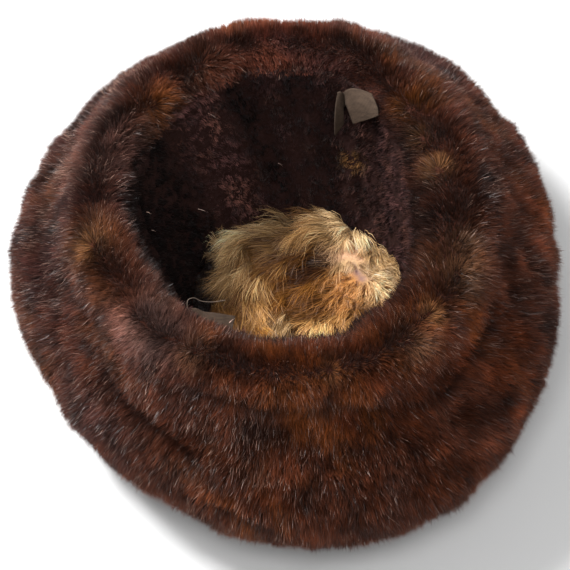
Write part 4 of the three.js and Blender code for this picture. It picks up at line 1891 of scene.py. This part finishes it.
    @staticmethod
    def kept_inside(points: np.ndarray, middle: np.ndarray) -> np.ndarray:
        """Bends hair that would run into the plush wall up along it.

        Args:
            points: The points of each hair.
            middle: The middle of the pelt.

        Returns:
            The moved points.
        """
        kept = points.copy()
        for station in range(1, points.shape[1]):
            flat = points[:, station] - middle
            bearing = np.degrees(np.arctan2(flat[:, 1], flat[:, 0]))
            edge = lining_point(bearing, np.full(len(bearing), 0.93), -0.002) - middle
            limit = np.hypot(edge[:, 0], edge[:, 1])
            size = np.hypot(flat[:, 0], flat[:, 1])
            over = np.maximum(size - limit, 0)
            shrink = np.where(over > 0, (limit + over * 0.15) / np.maximum(size, 1e-6), 1)
            kept[:, station, :2] = middle[:2] + flat[:, :2] * shrink[:, None]
            kept[:, station, 2] += over * 0.8
        return kept

    def build(self) -> None:
        """Makes the pelt's pieces."""
        self.disc()
        self.hair()


@dataclass
class ClothTab:
    """A short tab of plain cloth at the rim.

    Its rows of points run from its sewn edge down, in millimetres. The columns between the two of
    its slit are open below the first row.
    """

    name: str
    rows: tuple[tuple[Place, ...], ...]
    flat: tuple[float, float]
    node: str
    slit: tuple[int, int] = (0, 0)
    thickness: float = 0.0009

    def build(self, material: bpy.types.Material) -> None:
        """Makes the tab.

        Args:
            material: Its cloth.
        """
        places = np.array(self.rows) * MM
        lines, columns, _ = places.shape

        def cell(point: Vector) -> tuple[float, float]:
            """The row and the column of the flat grid that a point lies at."""
            return (1 - point.y) / 2 * (lines - 1), (point.x + 1) / 2 * (columns - 1)

        bpy.ops.object.select_all(action="DESELECT")
        bpy.ops.mesh.primitive_grid_add(x_subdivisions=columns - 1, y_subdivisions=lines - 1, size=2)
        tab = bpy.context.object
        tab.name = self.name
        mesh = tab.data
        mesh.uv_layers[0].name = "Weave"
        if self.slit != (0, 0):
            bpy.ops.object.mode_set(mode="EDIT")
            bpy.ops.mesh.select_mode(type="FACE")
            bpy.ops.mesh.select_all(action="DESELECT")
            bpy.ops.object.mode_set(mode="OBJECT")
            for face in mesh.polygons:
                line, column = cell(face.center)
                face.select = line > 1 and self.slit[0] < column < self.slit[1]
            bpy.ops.object.mode_set(mode="EDIT")
            bpy.ops.mesh.delete(type="FACE")
            bpy.ops.object.mode_set(mode="OBJECT")
        for vertex in mesh.vertices:
            line, column = cell(vertex.co)
            vertex.co = places[round(line), round(column)]
        drape = tab.modifiers.new("Drape", "SUBSURF")
        drape.levels = 3
        drape.render_levels = 3
        drape.boundary_smooth = "PRESERVE_CORNERS"
        bpy.ops.object.modifier_apply(modifier=drape.name)
        wall = tab.modifiers.new("Thickness", "SOLIDIFY")
        wall.thickness = self.thickness
        wall.offset = 0
        bpy.ops.object.modifier_apply(modifier=wall.name)
        soften(tab, 0, material)
        place_piece(tab, (self.node,))


FAR_TAB = ClothTab(
    "cloth_tab_far",
    (
        (
            *((31.5, 75, 145), (33.8, 75, 146), (35.3, 76, 142)),
            *((36.5, 75, 148), (42.6, 73, 152), (52, 67, 153)),
        ),
        (
            *((30.2, 69.8, 138), (35, 71.2, 137), (36.4, 74.6, 131)),
            *((37, 70, 140), (45, 65, 148), (55.5, 57, 152)),
        ),
        (
            *((29.9, 64.8, 129), (35.5, 69.5, 129), (37.9, 74.5, 122)),
            *((39.3, 67, 133), (47, 60.6, 142), (55.5, 54.5, 150.5)),
        ),
        (
            *((30.4, 64.3, 116), (35.6, 68.1, 123), (38.2, 73.5, 117)),
            *((41.5, 64, 128), (48.6, 58.6, 138), (55.5, 52.6, 149.5)),
        ),
    ),
    (0.030, 0.021),
    "tab_far",
    (1, 3),
)
NEAR_TAB = ClothTab(
    "cloth_tab_near",
    (
        (
            *((-52, -92, 140), (-48, -93.5, 140), (-45, -94.5, 139.5)),
            *((-41, -96, 140), (-36, -97.5, 141), (-30, -97, 141)),
        ),
        (
            *((-53, -87, 141.5), (-50, -88.5, 143), (-46, -89, 141)),
            *((-42, -91, 143.5), (-36, -92, 144), (-29, -92.5, 143.5)),
        ),
        (
            *((-54, -83, 144), (-50, -84, 146), (-46, -85.5, 143.5)),
            *((-42, -87, 146), (-36, -88.5, 146.5), (-28, -89.5, 145.5)),
        ),
    ),
    (0.026, 0.010),
    "tab_near",
)


@dataclass
class LooseThread:
    """A thread that has come loose at the near tab, and a few pale hairs caught in the plush."""

    path: tuple[Place, ...] = (
        (-52, -86, 145),
        (-55, -87, 150),
        (-54.7, -83.7, 153),
        (-51.4, -81.6, 152),
        (-47.6, -81.6, 149),
        (-41.5, -80.9, 147),
        (-34, -79, 146),
    )
    thickness: float = 0.0004
    hairs: tuple[tuple[Place, Place], ...] = (
        ((-48.6, 71.9, 130), (-40.7, 68, 127)),
        ((-4.7, 73.2, 78), (-1.5, 71.8, 76)),
        ((-54.9, 44.4, 68), (-48.1, 42.7, 66)),
        ((-79.3, -12, 122), (-76.5, -12.7, 121)),
        ((-81.5, -9.8, 137), (-78.5, -10.9, 136)),
        ((-31.6, -94, 145.5), (-28.2, -91.6, 146.6)),
    )

    def build(self) -> None:
        """Makes the thread and the pale hairs."""
        self.thread()
        self.pale_hairs()

    def thread(self) -> None:
        """Makes the thread."""
        line = smooth_line(np.array(self.path) * MM, by_distance=True, steps=10)
        cut = np.concatenate([[0], np.cumsum(np.linalg.norm(np.diff(line, axis=0), axis=1))])
        curve = bpy.data.curves.new("loose_thread", "CURVE")
        curve.dimensions = "3D"
        curve.bevel_depth = self.thickness / 2
        curve.bevel_resolution = 2
        curve.use_fill_caps = True
        spline = curve.splines.new("POLY")
        spline.points.add(len(line) - 1)
        for point, place in zip(spline.points, line, strict=True):
            point.co = (*place, 1)
        curve.materials.append(PlainFinish("thread_grey_brown", screen(112, 96, 84), 0.8).material())
        thread = bpy.data.objects.new("loose_thread", curve)
        bpy.context.scene.collection.objects.link(thread)
        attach(thread, BODY)
        LOG.info("%s: cord of %.4f m", thread.name, cut[-1])

    def pale_hairs(self) -> None:
        """Makes the pale hairs."""
        ends = np.array(self.hairs) * MM
        middle = ends.mean(axis=1) + np.array([0, 0, 0.0006])
        points = np.stack([ends[:, 0], middle, ends[:, 1]], axis=1)
        across = unit(np.cross(ends[:, 1] - ends[:, 0], np.array([0, -0.57, 0.82])))
        tint = np.broadcast_to(Tone.GLINT.line * 1.2, points.shape)
        blades = Blades(points, across, np.full(len(points), 0.0003), tint)
        finish = HairFinish("pale_hair", 0.3, 0.6)
        place_piece(blades.piece("stray_pale_hairs", finish.material()))


@dataclass(frozen=True)
class SoftBox:
    """A square light that faces the cap."""

    name: str
    place: Place
    size: float
    power: float
    target: Place = (0, 0, 0.1)

    def build(self) -> None:
        """Makes the light."""
        light = bpy.data.lights.new(self.name, "AREA")
        light.energy = self.power
        light.size = self.size
        lamp = bpy.data.objects.new(self.name, light)
        lamp.location = self.place
        way = Vector(self.target) - Vector(self.place)
        lamp.rotation_euler = way.to_track_quat("-Z", "Y").to_euler()
        bpy.context.scene.collection.objects.link(lamp)


@dataclass
class Studio:
    """The floor, the lights and the camera."""

    boxes: tuple[SoftBox, ...] = (
        SoftBox("key_light", (-1.0, 0.4, 1.55), 0.5, 50),
        SoftBox("front_light", (-0.1, -0.9, 1.8), 0.7, 14),
        SoftBox("right_light", (1.3, 0.1, 1.2), 0.8, 3),
    )
    floor_size: float = 8
    surroundings: float = 0.3
    target: Place = (-0.0003, -0.0167, 0.072)
    distance: float = 1.3
    elevation: float = 55
    lens: float = 134.6
    sensor: float = 36

    def build(self) -> None:
        """Makes the floor, the lights, the surroundings and the camera."""
        self.lay_floor()
        for box in self.boxes:
            box.build()
        self.light_surroundings()
        self.place_camera()

    def lay_floor(self) -> None:
        """Makes the plain pale floor."""
        bpy.ops.object.select_all(action="DESELECT")
        bpy.ops.mesh.primitive_plane_add(size=self.floor_size)
        floor = bpy.context.object
        floor.name = "floor"
        floor.data.materials.append(PlainFinish("pale_floor", (0.86, 0.86, 0.86), 0.9).material())

    def light_surroundings(self) -> None:
        """Makes the even light from all round."""
        world = bpy.data.worlds.new("studio")
        world.use_nodes = True
        background = world.node_tree.nodes["Background"]
        set_inputs(background, {"Color": (1, 1, 1, 1), "Strength": self.surroundings})
        bpy.context.scene.world = world
        bpy.context.scene.view_settings.view_transform = "Standard"

    def place_camera(self) -> None:
        """Makes the camera, at the angle from which the photograph was taken."""
        lens = bpy.data.cameras.new("camera")
        lens.lens = self.lens
        lens.sensor_width = self.sensor
        camera = bpy.data.objects.new("camera", lens)
        slope = math.radians(self.elevation)
        back = Vector((0, -math.cos(slope), math.sin(slope)))
        camera.location = Vector(self.target) + back * self.distance
        camera.rotation_euler = (math.radians(90 - self.elevation), 0, 0)
        bpy.context.scene.collection.objects.link(camera)
        bpy.context.scene.camera = camera


def main() -> None:
    """Builds the studio and the cap."""
    logging.basicConfig(level=logging.INFO, format="%(name)s %(message)s")
    Studio().build()
    CrownFur().build()
    CuffFur().build()
    PlushLining().build()
    TanPelt().build()
    cloth = ClothFinish("grey_brown_cloth", screen(56, 45, 38), screen(100, 82, 68), 17).material()
    FAR_TAB.build(cloth)
    NEAR_TAB.build(cloth)
    LooseThread().build()


if __name__ == "__main__":
    main()
